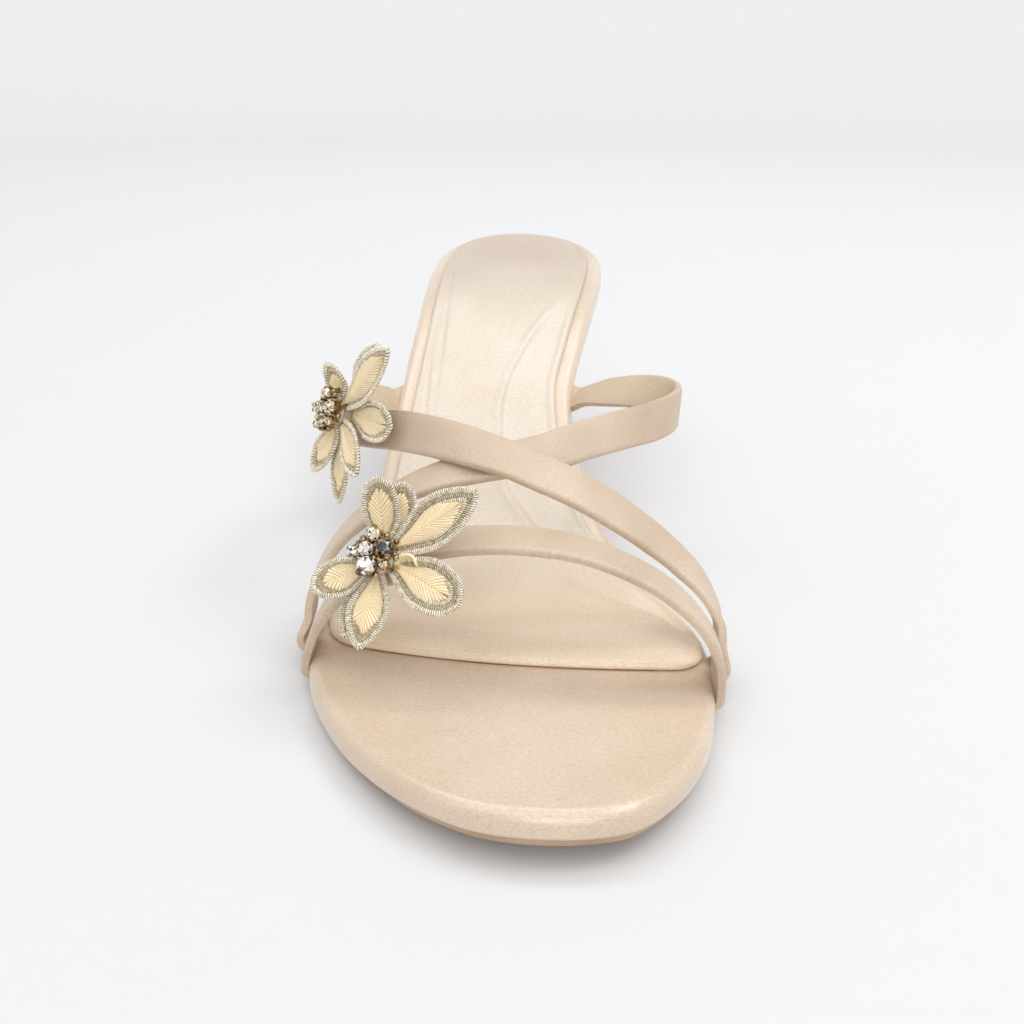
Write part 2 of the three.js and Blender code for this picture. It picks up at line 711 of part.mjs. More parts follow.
// Stones on the outer plate: places in shares of its radius, sizes of the largest stone
const stoneRows = [
  { right: -0.2, up: -0.64, size: 1 },
  { right: -0.42, up: 0.12, size: 0.82 },
  { right: -1, up: -0.06, size: 0.62 },
  { right: 0.5, up: 0.3, size: 0.86 },
  { right: -0.22, up: 0.88, size: 0.72 },
  { right: 0.52, up: -0.42, size: 0.5 },
];

const petalOutline = [
  { along: 0, half: 0.26 },
  { along: 0.2, half: 0.6 },
  { along: 0.42, half: 0.98 },
  { along: 0.62, half: 0.97 },
  { along: 0.8, half: 0.68 },
  { along: 0.93, half: 0.34 },
  { along: 1, half: 0.1 },
];
const petalStart = spoolPost + clearance;
const petalCup = 0.09;
const petalRise = 1.5;
const spoolSides = 16;
const layerHeight = petalThickness + 2 * clearance;
const spoolThroat = 2 * layerHeight + clearance;

// A petal lies flat between the plates and rises outside them, with its sides cupped
function petal({ reach, width, lift, layer }) {
  const length = petalReach * reach - petalStart;
  const held = (spoolRadius + clearance - petalStart) / length;
  const rise = Math.sin(radians(lift));
  const base = spoolPlate + clearance + layer * layerHeight + petalThickness / 2;
  const box = new THREE.BoxGeometry(1, 1, 1, 2, 1, petalOutline.length - 1);
  return shaped(box, (corner) => {
    const row = petalOutline[Math.round((corner.z + 0.5) * (petalOutline.length - 1))];
    const free = Math.max(0, row.along - held) / (1 - held);
    const side = corner.x * row.half * petalWidth * width;
    const cup = petalCup * petalWidth * width * (2 * corner.x) ** 2 * Math.min(1, 3 * free);
    const slope = Math.atan(petalRise * rise * free ** (petalRise - 1));
    const through = corner.y * petalThickness + cup;
    return new THREE.Vector3(
      petalStart + length * row.along * Math.cos(radians(lift)) - through * Math.sin(slope),
      side,
      base + length * rise * free ** petalRise + through * Math.cos(slope));
  });
}

// Spool: a foot on the strap, a lower plate, a post and an outer plate
function spool() {
  const outer = spoolPlate + spoolThroat;
  return closed(new THREE.LatheGeometry([
    new THREE.Vector2(0, -spoolFoot - strapThickness / 2),
    new THREE.Vector2(spoolPost, -spoolFoot - strapThickness / 2),
    new THREE.Vector2(spoolPost, 0),
    new THREE.Vector2(spoolRadius, 0),
    new THREE.Vector2(spoolRadius, spoolPlate),
    new THREE.Vector2(spoolPost, spoolPlate),
    new THREE.Vector2(spoolPost, outer),
    new THREE.Vector2(spoolRadius, outer),
    new THREE.Vector2(spoolRadius, outer + spoolPlate),
    new THREE.Vector2(0, outer + spoolPlate),
  ], spoolSides));
}

// A claw setting is a small flared cup, and its stone a cut dome with a flat table, whose
// profile is in shares of the stone's radius
const settingFoot = 0.6;
const stoneSides = 8;
const stoneProfile = [
  { out: 0, up: 0 },
  { out: 0.85, up: 0 },
  { out: 1, up: 0.22 },
  { out: 0.58, up: 0.62 },
  { out: 0, up: 0.62 },
];

function setting(radius) {
  return closed(new THREE.CylinderGeometry(
    radius, settingFoot * radius, settingHeight, stoneSides));
}

function stone(radius) {
  const profile = stoneProfile.map(({ out, up }) => new THREE.Vector2(out * radius, up * radius));
  return closed(new THREE.LatheGeometry(profile, stoneSides));
}

for (const [name, flower] of Object.entries(flowers)) {
  const frame = strapFrame(routeOf[flower.strap], flower.share);
  const facing = flower.facing.clone().normalize();
  const up = new THREE.Vector3(0, 0, 1);
  up.addScaledVector(facing, -up.dot(facing)).normalize();
  const right = up.clone().cross(facing);
  const group = new THREE.Group();
  const basis = new THREE.Matrix4().makeBasis(right, up, facing);
  group.quaternion.setFromRotationMatrix(basis);
  const outward = frame.face.dot(facing) < 0 ? -1 : 1;
  group.position.copy(frame.centre)
    .addScaledVector(frame.face, outward * strapThickness / 2)
    .addScaledVector(frame.edge, -flower.forward * strapWidth)
    .addScaledVector(facing, flower.standOff);
  group.updateMatrixWorld(true);
  shoe.add(group);

  const seated = spool().rotateX(Math.PI / 2).applyMatrix4(group.matrixWorld);
  const fitted = solid(seated).subtract(strapRoom).decompose()
    .reduce((most, piece) => (piece.volume() > most.volume() ? piece : most));
  addPiece(`flower_${name}_spool`, geometryOf(fitted), 'satin');

  flower.petals.forEach((row, i) => {
    const mesh = addPiece(`flower_${name}_petal_${i + 1}`, petal(row), 'raffia', group);
    mesh.rotation.z = radians(row.turn);
  });

  const plateTop = 2 * spoolPlate + spoolThroat;
  stoneRows.forEach((row, i) => {
    const radius = stoneRadius * row.size;
    const claw = addPiece(`flower_${name}_setting_${i + 1}`, setting(radius), 'gold', group);
    claw.rotation.x = Math.PI / 2;
    claw.position.set(
      row.right * spoolRadius, row.up * spoolRadius, plateTop + clearance + settingHeight / 2);
    const gem = addPiece(`flower_${name}_stone_${i + 1}`, stone(radius), 'stone', group);
    gem.rotation.x = Math.PI / 2;
    gem.position.copy(claw.position).setZ(plateTop + 2 * clearance + settingHeight);
  });
}

export default shoe;
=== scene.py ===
# %% [markdown]
# Strappy mule sandal
#
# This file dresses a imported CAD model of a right-foot sandal: a satin footbed on a slim
# heel, three narrow straps and two embroidered flowers set with stones. Each step below
# says what a piece is on the real shoe, how it could be made in Blender, and why it is made
# the way it is.

# %% The CAD frame
import math
import random
from collections import namedtuple

import bmesh
import bpy
from mathutils import Matrix, Vector, noise


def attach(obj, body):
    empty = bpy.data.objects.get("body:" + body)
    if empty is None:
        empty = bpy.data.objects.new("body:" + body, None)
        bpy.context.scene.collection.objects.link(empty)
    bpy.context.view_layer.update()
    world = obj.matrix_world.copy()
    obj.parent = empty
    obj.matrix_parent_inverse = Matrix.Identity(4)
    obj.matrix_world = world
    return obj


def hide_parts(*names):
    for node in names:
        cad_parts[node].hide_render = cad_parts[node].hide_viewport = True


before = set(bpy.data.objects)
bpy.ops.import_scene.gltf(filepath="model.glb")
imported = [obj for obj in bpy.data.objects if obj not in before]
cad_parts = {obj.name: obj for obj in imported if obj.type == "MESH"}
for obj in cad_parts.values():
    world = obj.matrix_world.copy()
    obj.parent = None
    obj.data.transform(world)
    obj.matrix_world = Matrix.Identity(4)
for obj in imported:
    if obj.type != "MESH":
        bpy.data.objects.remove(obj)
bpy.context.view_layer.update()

# %% [markdown]
# Camera
#
# The photograph was taken from close in front of the toe, a little above it. A camera can be
# aimed with a constraint or placed by angles. Three angles are used here, because they are
# what a photographer would note down: the tilt towards the floor, a small swing to the side
# and a very small roll.

# %% Camera
camera_place = Vector((0.0055025, -0.2067128, 0.1218986))
camera_tilt = math.radians(23.4767)
camera_swing = math.radians(0.9663)
camera_roll = math.radians(-0.3139)
camera_lens = 38.258

camera = bpy.data.objects.new("camera", bpy.data.cameras.new("camera"))
bpy.context.scene.collection.objects.link(camera)
turned = (
    Matrix.Rotation(camera_swing, 4, "Z")
    @ Matrix.Rotation(math.pi / 2 - camera_tilt, 4, "X")
    @ Matrix.Rotation(camera_roll, 4, "Z")
)
camera.matrix_world = Matrix.Translation(camera_place) @ turned
camera.data.lens = camera_lens
camera.data.sensor_width = 36
camera.data.clip_start = 0.01
bpy.context.scene.camera = camera
print("camera at", tuple(camera.location))

# %% [markdown]
# Measures
#
# The sandal follows a last, the form that shoes are built on. Its measures are the same ones
# that the CAD source uses, here in metres, so every piece lands where its solid is. Short
# tables hold the outline and the slope of the sole as shares of those measures.

# %% Measures of the sole
footbed_length = 0.246
ball_width = 0.082
waist_width = 0.046
seat_width = 0.0525
heel_height = 0.0624
instep_height = 0.040
toe_spring = 9
seat_pitch = 9

outsole_thickness = 0.0022
footbed_thickness = 0.0045
sock_thickness = 0.0014
clearance = 0.0003
top_height = outsole_thickness + clearance + footbed_thickness

ball_along = 0.2846
breast_along = 0.813
sock_along = 0.197

Slope = namedtuple("Slope", "along toe shank seat")
slopes = [
    Slope(0, 1, 0, 0),
    Slope(0.1016, 0.55, 0, 0),
    Slope(0.2033, 0, 0, 0),
    Slope(0.3171, 0, 0, 0),
    Slope(0.4675, 0, 1, 0),
    Slope(0.6585, 0, 1, 0),
    Slope(0.8211, 0, 0, 1),
    Slope(1, 0, 0, 1),
]

Edge = namedtuple("Edge", "along width lateral medial")
edges = [
    Edge(0, ball_width, -0.126, 0.126),
    Edge(0.0081, ball_width, 0.028, 0.261),
    Edge(0.0203, ball_width, 0.098, 0.314),
    Edge(0.0407, ball_width, 0.179, 0.366),
    Edge(0.065, ball_width, 0.25, 0.412),
    Edge(0.1016, ball_width, 0.334, 0.459),
    Edge(0.1463, ball_width, 0.408, 0.493),
    Edge(0.191, ball_width, 0.461, 0.512),
    Edge(0.2358, ball_width, 0.484, 0.516),
    Edge(0.2764, ball_width, 0.483, 0.495),
    Edge(0.3211, ball_width, 0.47, 0.452),
    Edge(0.374, ball_width, 0.447, 0.38),
    Edge(0.4309, ball_width, 0.422, 0.297),
    Edge(0.4919, waist_width, 0.709, 0.425),
    Edge(0.5528, waist_width, 0.67, 0.379),
    Edge(0.6138, waist_width, 0.63, 0.37),
    Edge(0.6748, waist_width, 0.598, 0.433),
    Edge(0.7358, seat_width, 0.499, 0.438),
    Edge(0.7967, seat_width, 0.484, 0.49),
    Edge(0.8496, seat_width, 0.474, 0.524),
    Edge(0.8984, seat_width, 0.45, 0.53),
    Edge(0.939, seat_width, 0.4, 0.49),
    Edge(0.9675, seat_width, 0.318, 0.4),
    Edge(0.9878, seat_width, 0.19, 0.262),
    Edge(1, seat_width, -0.03, 0.03),
]
print("sole tables:", len(slopes), "slopes and", len(edges), "edge rows")


# %% Helpers for tables and curves
def mix(a, b, share):
    return a + (b - a) * share


def clamp(value, low=0.0, high=1.0):
    return max(low, min(high, value))


def ease(low, high, value):
    """0 below low, 1 above high, and a smooth step between them."""
    share = clamp((value - low) / (high - low))
    return share * share * (3 - 2 * share)


def straight_value(rows, column, along):
    """A column of a table at a share of the length, in a straight line between rows."""
    for before, after in zip(rows, rows[1:]):
        if along <= after.along:
            share = (along - before.along) / (after.along - before.along)
            return mix(getattr(before, column), getattr(after, column), share)
    return getattr(rows[-1], column)


def smooth_value(keys, values, key):
    """A smooth curve through values at growing keys."""
    last = len(keys) - 1
    i = next((n for n in range(1, last) if key <= keys[n]), last)
    k0, k1 = keys[i - 1], keys[i]
    v0, v1 = values[i - 1], values[i]
    before, k_before = (values[i - 2], keys[i - 2]) if i > 1 else (v1, k1)
    after, k_after = (values[i + 1], keys[i + 1]) if i < last else (v0, k0)
    half = (k1 - k0) / 2
    w_before, w_after = half / (k0 - k_before), half / (k_after - k1)
    p = (key - k0) / (k1 - k0)
    p2, p3 = p * p, p * p * p
    return (
        (-w_before * p3 + 2 * w_before * p2 - w_before * p) * before
        + ((1 + w_before) * p3 + (-1.5 - 2 * w_before) * p2 + (-0.5 + w_before) * p + 1) * v0
        + ((-1 - w_after) * p3 + (1.5 + w_after) * p2 + 0.5 * p) * v1
        + (w_after * p3 - w_after * p2) * after
    )


# %% Centre line of the sole
line_steps = 492


def footbed_line(shank_pitch):
    """y, z and slope of the footbed's top, in equal steps from the toe to the heel."""
    step = footbed_length / line_steps
    y, z = 0.0, 0.0
    line = [(y, z, math.radians(-toe_spring))]
    for i in range(1, line_steps + 1):
        along = (i - 0.5) / line_steps
        slope = math.radians(
            shank_pitch * straight_value(slopes, "shank", along)
            + seat_pitch * straight_value(slopes, "seat", along)
            - toe_spring * straight_value(slopes, "toe", along)
        )
        y += step * math.cos(slope)
        z += step * math.sin(slope)
        line.append((y, z, slope))
    y0, z0, _ = line[round(ball_along * line_steps)]
    return [(y - y0, z - z0 + top_height, slope) for y, z, slope in line]


low, high = 0.0, 70.0
for _ in range(40):
    middle = (low + high) / 2
    if footbed_line(middle)[-1][1] < heel_height:
        low = middle
    else:
        high = middle
centre_line = footbed_line((low + high) / 2)
print("shank pitch in degrees:", round((low + high) / 2, 2))


def on_sole(along, across, up):
    """Point of the sole: along the top from the toe, across, and up from its underside."""
    at = clamp(along) * line_steps
    i = min(int(at), line_steps - 1)
    (y0, z0, s0), (y1, z1, s1) = centre_line[i], centre_line[i + 1]
    share = at - i
    slope = mix(s0, s1, share)
    rise = up - top_height
    return Vector((
        across,
        mix(y0, y1, share) - rise * math.sin(slope),
        mix(z0, z1, share) + rise * math.cos(slope),
    ))


def footbed_top_at(y):
    """Height of the footbed's top above the floor at a place along the shoe."""
    i = next((n for n in range(1, line_steps) if centre_line[n][0] >= y), line_steps)
    (y0, z0, _), (y1, z1, _) = centre_line[i - 1], centre_line[i]
    return mix(z0, z1, (y - y0) / (y1 - y0))


# %% Edges of the sole
def turn_of(along):
    return math.acos(1 - 2 * clamp(along))


def along_of(turn):
    return (1 - math.cos(turn)) / 2


edge_turns = [turn_of(row.along) for row in edges]
edge_reach = {
    "lateral": [-row.lateral * row.width for row in edges],
    "medial": [row.medial * row.width for row in edges],
}


def edge_across(side, turn):
    return smooth_value(edge_turns, edge_reach[side], clamp(turn, 0, math.pi))


def edge_point(side, turn, inset):
    """A point of the outline, moved inwards: its share along and its place across."""
    step = 0.002
    before, after = max(0, turn - step), min(math.pi, turn + step)
    across_rate = (edge_across(side, after) - edge_across(side, before)) / (after - before)
    along_rate = footbed_length * math.sin(turn) / 2
    length = math.hypot(across_rate, along_rate)
    inwards = 1 if side == "lateral" else -1
    return (
        along_of(turn) - inwards * inset * across_rate / length / footbed_length,
        edge_across(side, turn) + inwards * inset * along_rate / length,
    )


print("ball width in mm:", round(1000 * (edge_across("medial", 1) - edge_across("lateral", 1)), 1))


# %% [markdown]
# Making meshes
#
# Most pieces here are a simple block or tube that is cut finely and then moved, point by
# point, onto the last. A block cut by columns, rows and levels keeps its faces in neat
# loops, which shades well on satin. A tube does the same for bands and for the heel. Each
# point also gets a place on the cloth, which later steers the weave of the material.

# %% Helpers for meshes
weld = 0.000002


def divided_block(columns, rows, levels):
    """A unit block cut into columns across X, rows along Y and levels up Z."""
    bm = bmesh.new()
    bmesh.ops.create_cube(bm, size=1)
    for axis, parts in ((1, rows), (0, columns), (2, levels)):
        long_edges = [e for e in bm.edges if abs((e.verts[0].co - e.verts[1].co)[axis]) > 0.5]
        if parts > 1:
            bmesh.ops.subdivide_edges(bm, edges=long_edges, cuts=parts - 1, use_grid_fill=True)
    return bm


def divided_tube(sides, rings):
    """A unit tube along Z with closed ends, cut into rings."""
    bm = bmesh.new()
    bmesh.ops.create_cone(
        bm, cap_ends=True, cap_tris=True, segments=sides, radius1=0.5, radius2=0.5, depth=1)
    long_edges = [e for e in bm.edges if abs(e.verts[0].co.z - e.verts[1].co.z) > 0.5]
    bmesh.ops.subdivide_edges(bm, edges=long_edges, cuts=rings - 2, use_grid_fill=True)
    return bm


def shape(bm, place):
    """Moves each point to place(point), which returns its position and its cloth place."""
    cloth = bm.verts.layers.float_vector.new("cloth")
    for vert in bm.verts:
        position, on_cloth = place(vert.co.copy())
        vert[cloth] = (on_cloth[0], on_cloth[1], 0)
        vert.co = position
    bmesh.ops.remove_doubles(bm, verts=bm.verts, dist=weld)
    bmesh.ops.recalc_face_normals(bm, faces=bm.faces)
    return bm


def finish_piece(name, bm, materials, nodes, sharp_degrees=50):
    """Turns a bmesh into a piece of the shoe that stands for CAD nodes."""
    mesh = bpy.data.meshes.new(name)
    cloth = bm.verts.layers.float_vector.get("cloth")
    if cloth is not None:
        weave = bm.loops.layers.uv.new("weave")
        for face in bm.faces:
            for loop in face.loops:
                loop[weave].uv = loop.vert[cloth].xy
    bm.to_mesh(mesh)
    bm.free()
    if "cloth" in mesh.attributes:
        mesh.attributes.remove(mesh.attributes["cloth"])
    for material in materials:
        mesh.materials.append(material)
    mesh.shade_smooth()
    mesh.set_sharp_from_angle(angle=math.radians(sharp_degrees))
    piece = bpy.data.objects.new(name, mesh)
    bpy.context.scene.collection.objects.link(piece)
    if nodes:
        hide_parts(*nodes)
    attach(piece, "root")
    print(f"{name}: {len(mesh.polygons)} faces")
    return piece


# %% Helpers for threads
def thread_mesh(paths, radius, resolution=1):
    """A mesh of threads that follow paths."""
    curve = bpy.data.curves.new("thread", "CURVE")
    curve.dimensions = "3D"
    curve.bevel_depth = radius
    curve.bevel_resolution = resolution
    curve.use_fill_caps = True
    for path in paths:
        spline = curve.splines.new("POLY")
        spline.points.add(len(path) - 1)
        for point, place in zip(spline.points, path):
            point.co = (*place, 1)
    draft = bpy.data.objects.new("thread", curve)
    bpy.context.scene.collection.objects.link(draft)
    evaluated = draft.evaluated_get(bpy.context.evaluated_depsgraph_get())
    mesh = bpy.data.meshes.new_from_object(evaluated)
    bpy.data.objects.remove(draft)
    bpy.data.curves.remove(curve)
    return mesh


def add_part(bm, part, material_index):
    """Joins a bmesh or a mesh to bm and gives it one of the piece's materials."""
    first = len(bm.faces)
    if isinstance(part, bmesh.types.BMesh):
        mesh = bpy.data.meshes.new("part")
        part.to_mesh(mesh)
        part.free()
    else:
        mesh = part
    bm.from_mesh(mesh)
    bpy.data.meshes.remove(mesh)
    bm.faces.ensure_lookup_table()
    for face in bm.faces[first:]:
        face.material_index = material_index


# %% [markdown]
# Satin
#
# Satin is woven so that most threads lie on its face in one direction. That gives a soft,
# wide highlight with a fine grain. A shader could paint every thread, but at this size the
# threads show only as grain, so a stretched noise along the cloth does the work: it tints
# the colour a little and lifts a faint bump. A slow noise adds the cloudy light that thin
# satin has over foam, and the sheen socket gives the pale edge.

# %% Colours and shader helpers
def colour(red, green, blue):
    """A colour, from screen values to the linear ones that shaders use."""
    def linear(value):
        value /= 255
        return value / 12.92 if value <= 0.04045 else ((value + 0.055) / 1.055) ** 2.4
    return (linear(red), linear(green), linear(blue), 1)


def new_material(name):
    material = bpy.data.materials.new(name)
    material.use_nodes = True
    return material, material.node_tree.nodes["Principled BSDF"]


def add_node(material, kind, **settings):
    node = material.node_tree.nodes.new(kind)
    for key, value in settings.items():
        setattr(node, key, value)
    return node


def join(material, source, target):
    material.node_tree.links.new(source, target)


def stretched_noise(material, coordinates, scale, detail):
    """A noise texture whose features are sized by the three scales."""
    mapping = add_node(material, "ShaderNodeMapping")
    mapping.inputs["Scale"].default_value = scale
    join(material, coordinates, mapping.inputs["Vector"])
    texture = add_node(material, "ShaderNodeTexNoise")
    texture.inputs["Scale"].default_value = 1
    texture.inputs["Detail"].default_value = detail
    join(material, mapping.outputs["Vector"], texture.inputs["Vector"])
    return texture.outputs["Fac"]


def tinted(material, fac, low, high, dark, light):
    """A ramp between two colours over a stretch of fac."""
    ramp = add_node(material, "ShaderNodeValToRGB")
    ramp.color_ramp.elements[0].position = low
    ramp.color_ramp.elements[0].color = dark
    ramp.color_ramp.elements[1].position = high
    ramp.color_ramp.elements[1].color = light
    join(material, fac, ramp.inputs["Fac"])
    return ramp.outputs["Color"]


def blended(material, kind, fac, first, second):
    """Two colours mixed by a blend of the given kind."""
    blend = add_node(material, "ShaderNodeMix", data_type="RGBA", blend_type=kind)
    blend.inputs["Factor"].default_value = fac
    join(material, first, blend.inputs["A"])
    join(material, second, blend.inputs["B"])
    return blend.outputs["Result"]


def bumped(material, height, strength, distance, after=None):
    bump = add_node(material, "ShaderNodeBump")
    bump.inputs["Strength"].default_value = strength
    bump.inputs["Distance"].default_value = distance
    join(material, height, bump.inputs["Height"])
    if after is not None:
        join(material, after, bump.inputs["Normal"])
    return bump.outputs["Normal"]


# %% Satin material
grain_across = 3600
grain_along = 1300
cloud_scale = 55


def painted_shade_along(material, place, tone, painted_shade_stops):
    """Paints shade along the shoe: tints a tone by the place along it, from the toe's side to the
    heel.
    """
    parts = add_node(material, "ShaderNodeSeparateXYZ")
    join(material, place, parts.inputs["Vector"])
    span = add_node(material, "ShaderNodeMapRange")
    span.inputs["From Min"].default_value = painted_shade_stops[0][0]
    span.inputs["From Max"].default_value = painted_shade_stops[-1][0]
    join(material, parts.outputs["Y"], span.inputs["Value"])
    ramp = add_node(material, "ShaderNodeValToRGB")
    length = painted_shade_stops[-1][0] - painted_shade_stops[0][0]
    for y, tint in painted_shade_stops[1:-1]:
        ramp.color_ramp.elements.new((y - painted_shade_stops[0][0]) / length).color = tint
    ramp.color_ramp.elements[0].color = painted_shade_stops[0][1]
    ramp.color_ramp.elements[-1].color = painted_shade_stops[-1][1]
    join(material, span.outputs["Result"], ramp.inputs["Fac"])
    return blended(material, "MULTIPLY", 1, tone, ramp.outputs["Color"])


def satin(name, dark, light, roughness, gloss, sheen=0.1, is_band=False, painted_shade_stops=None):
    """Satin with slow clouds of tone, and painted shade along the shoe when stops are given. Its
    grain runs along a band, or else across the shoe.
    """
    material, shader = new_material(name)
    if is_band:
        cloth = add_node(material, "ShaderNodeUVMap", uv_map="weave").outputs["UV"]
    else:
        cloth = add_node(material, "ShaderNodeTexCoord").outputs["Object"]
    grain = stretched_noise(material, cloth, (grain_along, grain_across, grain_across), 3)
    clouds = stretched_noise(material, cloth, (cloud_scale, cloud_scale, cloud_scale), 2)
    clouded = tinted(material, clouds, 0.3, 0.7, dark, light)
    grained = tinted(material, grain, 0.35, 0.65, (0.84, 0.81, 0.77, 1), (1, 1, 1, 1))
    tone = blended(material, "MULTIPLY", 0.85, clouded, grained)
    if painted_shade_stops:
        tone = painted_shade_along(material, cloth, tone, painted_shade_stops)
    join(material, tone, shader.inputs["Base Color"])
    join(material, bumped(material, grain, 0.35, 0.0001), shader.inputs["Normal"])
    shader.inputs["Roughness"].default_value = roughness
    shader.inputs["Specular IOR Level"].default_value = gloss
    shader.inputs["Sheen Weight"].default_value = sheen
    shader.inputs["Sheen Roughness"].default_value = 0.35
    return material


# The stops below are painted shade along the shoe: the footbed's satin is darkest from the toe to
# the ball and lightest on the shank, and the sock's grows darker from the ball towards the seat.
footbed_painted_shade = [
    (-0.03, (0.82, 0.8, 0.78, 1)), (0.005, (0.82, 0.8, 0.78, 1)),
    (0.05, (0.9, 0.91, 0.92, 1)), (0.17, (0.84, 0.85, 0.87, 1))]
footbed_satin = satin("footbed_satin", colour(233, 212, 188), colour(243, 223, 200), 0.27, 1.0,
                      sheen=0.4, painted_shade_stops=footbed_painted_shade)
sock_painted_shade = [
    (-0.03, (1, 1, 1, 1)), (0.0, (1, 0.99, 0.98, 1)), (0.035, (0.82, 0.86, 0.92, 1)),
    (0.1, (0.82, 0.86, 0.92, 1)), (0.135, (0.67, 0.665, 0.7, 1)), (0.17, (0.67, 0.665, 0.7, 1))]
sock_satin = satin("sock_satin", colour(240, 221, 196), colour(247, 230, 208), 0.36, 0.8,
                   painted_shade_stops=sock_painted_shade)
strap_satin = satin(
    "strap_satin", colour(200, 179, 156), colour(215, 195, 173), 0.4, 0.5, is_band=True)
strap_lining = satin(
    "strap_lining", colour(204, 184, 158), colour(214, 195, 170), 0.6, 0.3, is_band=True)
print("satins made")


# %% [markdown]
# Footbed and outsole
#
# The footbed is a board wrapped in satin, with a soft rounded rim, and the outsole is a thin
# leather sole set in a little from that rim. Both could be extruded from an outline and
# bevelled, but the rim has to keep its width while the outline turns tightly at the toe, so
# the rim's levels are worked out and a divided block is moved onto them.

# %% Sole layers
def rim_levels(base, top, bottom_round, top_round, steps):
    """Insets and heights up a rim that is rounded below and above."""
    levels = []
    for i in range(steps + 1):
        turn = i / steps * math.pi / 2
        levels.append((bottom_round * (1 - math.sin(turn)),
                       base + bottom_round * (1 - math.cos(turn))))
    for i in range(steps + 1):
        turn = i / steps * math.pi / 2
        levels.append((top_round * (1 - math.cos(turn)),
                       top - top_round * (1 - math.sin(turn))))
    return levels


def no_extra(*_):
    return 0.0


def sole_layer(levels, start, end, rows, columns, inset_at=no_extra, shift_at=no_extra,
               relief_at=no_extra):
    """A layer of the sole between two places along it."""
    def place(corner):
        turn = mix(turn_of(start), turn_of(end), corner.y + 0.5)
        level = round((corner.z + 0.5) * (len(levels) - 1))
        inset, height = levels[level]
        here = along_of(turn)
        inset += inset_at(here)
        left = edge_point("lateral", turn, inset)
        right = edge_point("medial", turn, inset)
        even = corner.x + 0.5
        share = mix(even, (1 - math.cos(math.pi * even)) / 2, 0.6)
        along = mix(left[0], right[0], share) + shift_at(here, share, levels[level][0])
        across = mix(left[1], right[1], share)
        if level == len(levels) - 1:
            room = min(across - left[1], right[1] - across)
            height += relief_at(along, across, room)
        return on_sole(along, across, height), (across, along * footbed_length)

    return shape(divided_block(columns, rows, len(levels) - 1), place)


# %% Footbed
footbed_base = outsole_thickness + clearance
footbed_levels = rim_levels(footbed_base - 0.0005, top_height, 0.0008, 0.0026, 6)
footbed_bm = sole_layer(footbed_levels, 0, 1, 200, 24)
footbed = finish_piece("footbed_wrap", footbed_bm, [footbed_satin], ["footbed"])

# %% [markdown]
# The outsole's leather shows only at its edge and underneath. Its colour wanders a little,
# as dyed leather does, and a fine grain gives it a dull surface.

# %% Outsole leather
def leather(name, dark, light, roughness):
    material, shader = new_material(name)
    place = add_node(material, "ShaderNodeTexCoord").outputs["Object"]
    patches = stretched_noise(material, place, (90, 90, 90), 4)
    join(material, tinted(material, patches, 0.35, 0.65, dark, light),
         shader.inputs["Base Color"])
    pores = stretched_noise(material, place, (2600, 2600, 2600), 2)
    join(material, bumped(material, pores, 0.3, 0.0001), shader.inputs["Normal"])
    shader.inputs["Roughness"].default_value = roughness
    return material


outsole_leather = leather("outsole_leather", colour(176, 147, 121), colour(196, 168, 142), 0.5)
# This darker brown is a painted shadow: it colours the cord laid in the sock's front crease.
crease_shadow_brown = leather("crease_shadow_brown", colour(128, 92, 64), colour(156, 118, 86), 0.7)

outsole_inset = 0.0015
outsole_levels = [
    (outsole_inset + inset, height)
    for inset, height in rim_levels(0, outsole_thickness + 0.0001, 0.0009, 0.0003, 4)
]
outsole_bm = sole_layer(outsole_levels, 0, breast_along, 150, 16)
outsole = finish_piece(
    "outsole_leather_sole", outsole_bm, [outsole_leather], ["outsole"])

# %% [markdown]
# Sock
#
# The sock is the padded satin lining that the foot stands on. It stops behind the toes in a
# folded front edge with round corners. A soft curved ridge marks the pad under the arch, and
# two faint lines run beside its outer edge. These are shallow forms, so they are worked into
# the height of the finely divided top.

# %% Sock relief
arch_ridge = [Vector(point) / 1000 for point in (
    (19, 112), (6, 89), (0.5, 78), (-1.8, 70), (-2.4, 62), (-1, 46), (5, 35), (12, 21),
    (19, 9), (27, 1.5), (33, -4), (38, -11))]
outer_lines = [
    [Vector(point) / 1000 for point in ((-20, 122), (-21.5, 87), (-21.6, 70), (-22, 50))],
    [Vector(point) / 1000 for point in ((-17.5, 121), (-18.2, 87), (-19.4, 66), (-20, 48))],
]


def distance_to_path(path, x, y):
    """Distance to a path of straight stretches, and the share of it that has gone by."""
    best, gone = 1.0, 0.0
    for i, (a, b) in enumerate(zip(path, path[1:])):
        run_x, run_y = b[0] - a[0], b[1] - a[1]
        length = run_x * run_x + run_y * run_y
        share = clamp(((x - a[0]) * run_x + (y - a[1]) * run_y) / length)
        away = math.hypot(x - a[0] - share * run_x, y - a[1] - share * run_y)
        if away < best:
            side = run_x * (y - a[1]) - run_y * (x - a[0])
            best, gone = away, (i + share) / (len(path) - 1)
            signed = away if side > 0 else -away
    return signed, gone


def smooth_path(path, cuts=6):
    """More points on a path, on a smooth curve through the chosen ones."""
    keys = list(range(len(path)))
    xs, ys = [p[0] for p in path], [p[1] for p in path]
    return [
        (smooth_value(keys, xs, i / cuts), smooth_value(keys, ys, i / cuts))
        for i in range((len(path) - 1) * cuts + 1)
    ]


arch_path = smooth_path(arch_ridge)
line_paths = [smooth_path(path) for path in outer_lines]


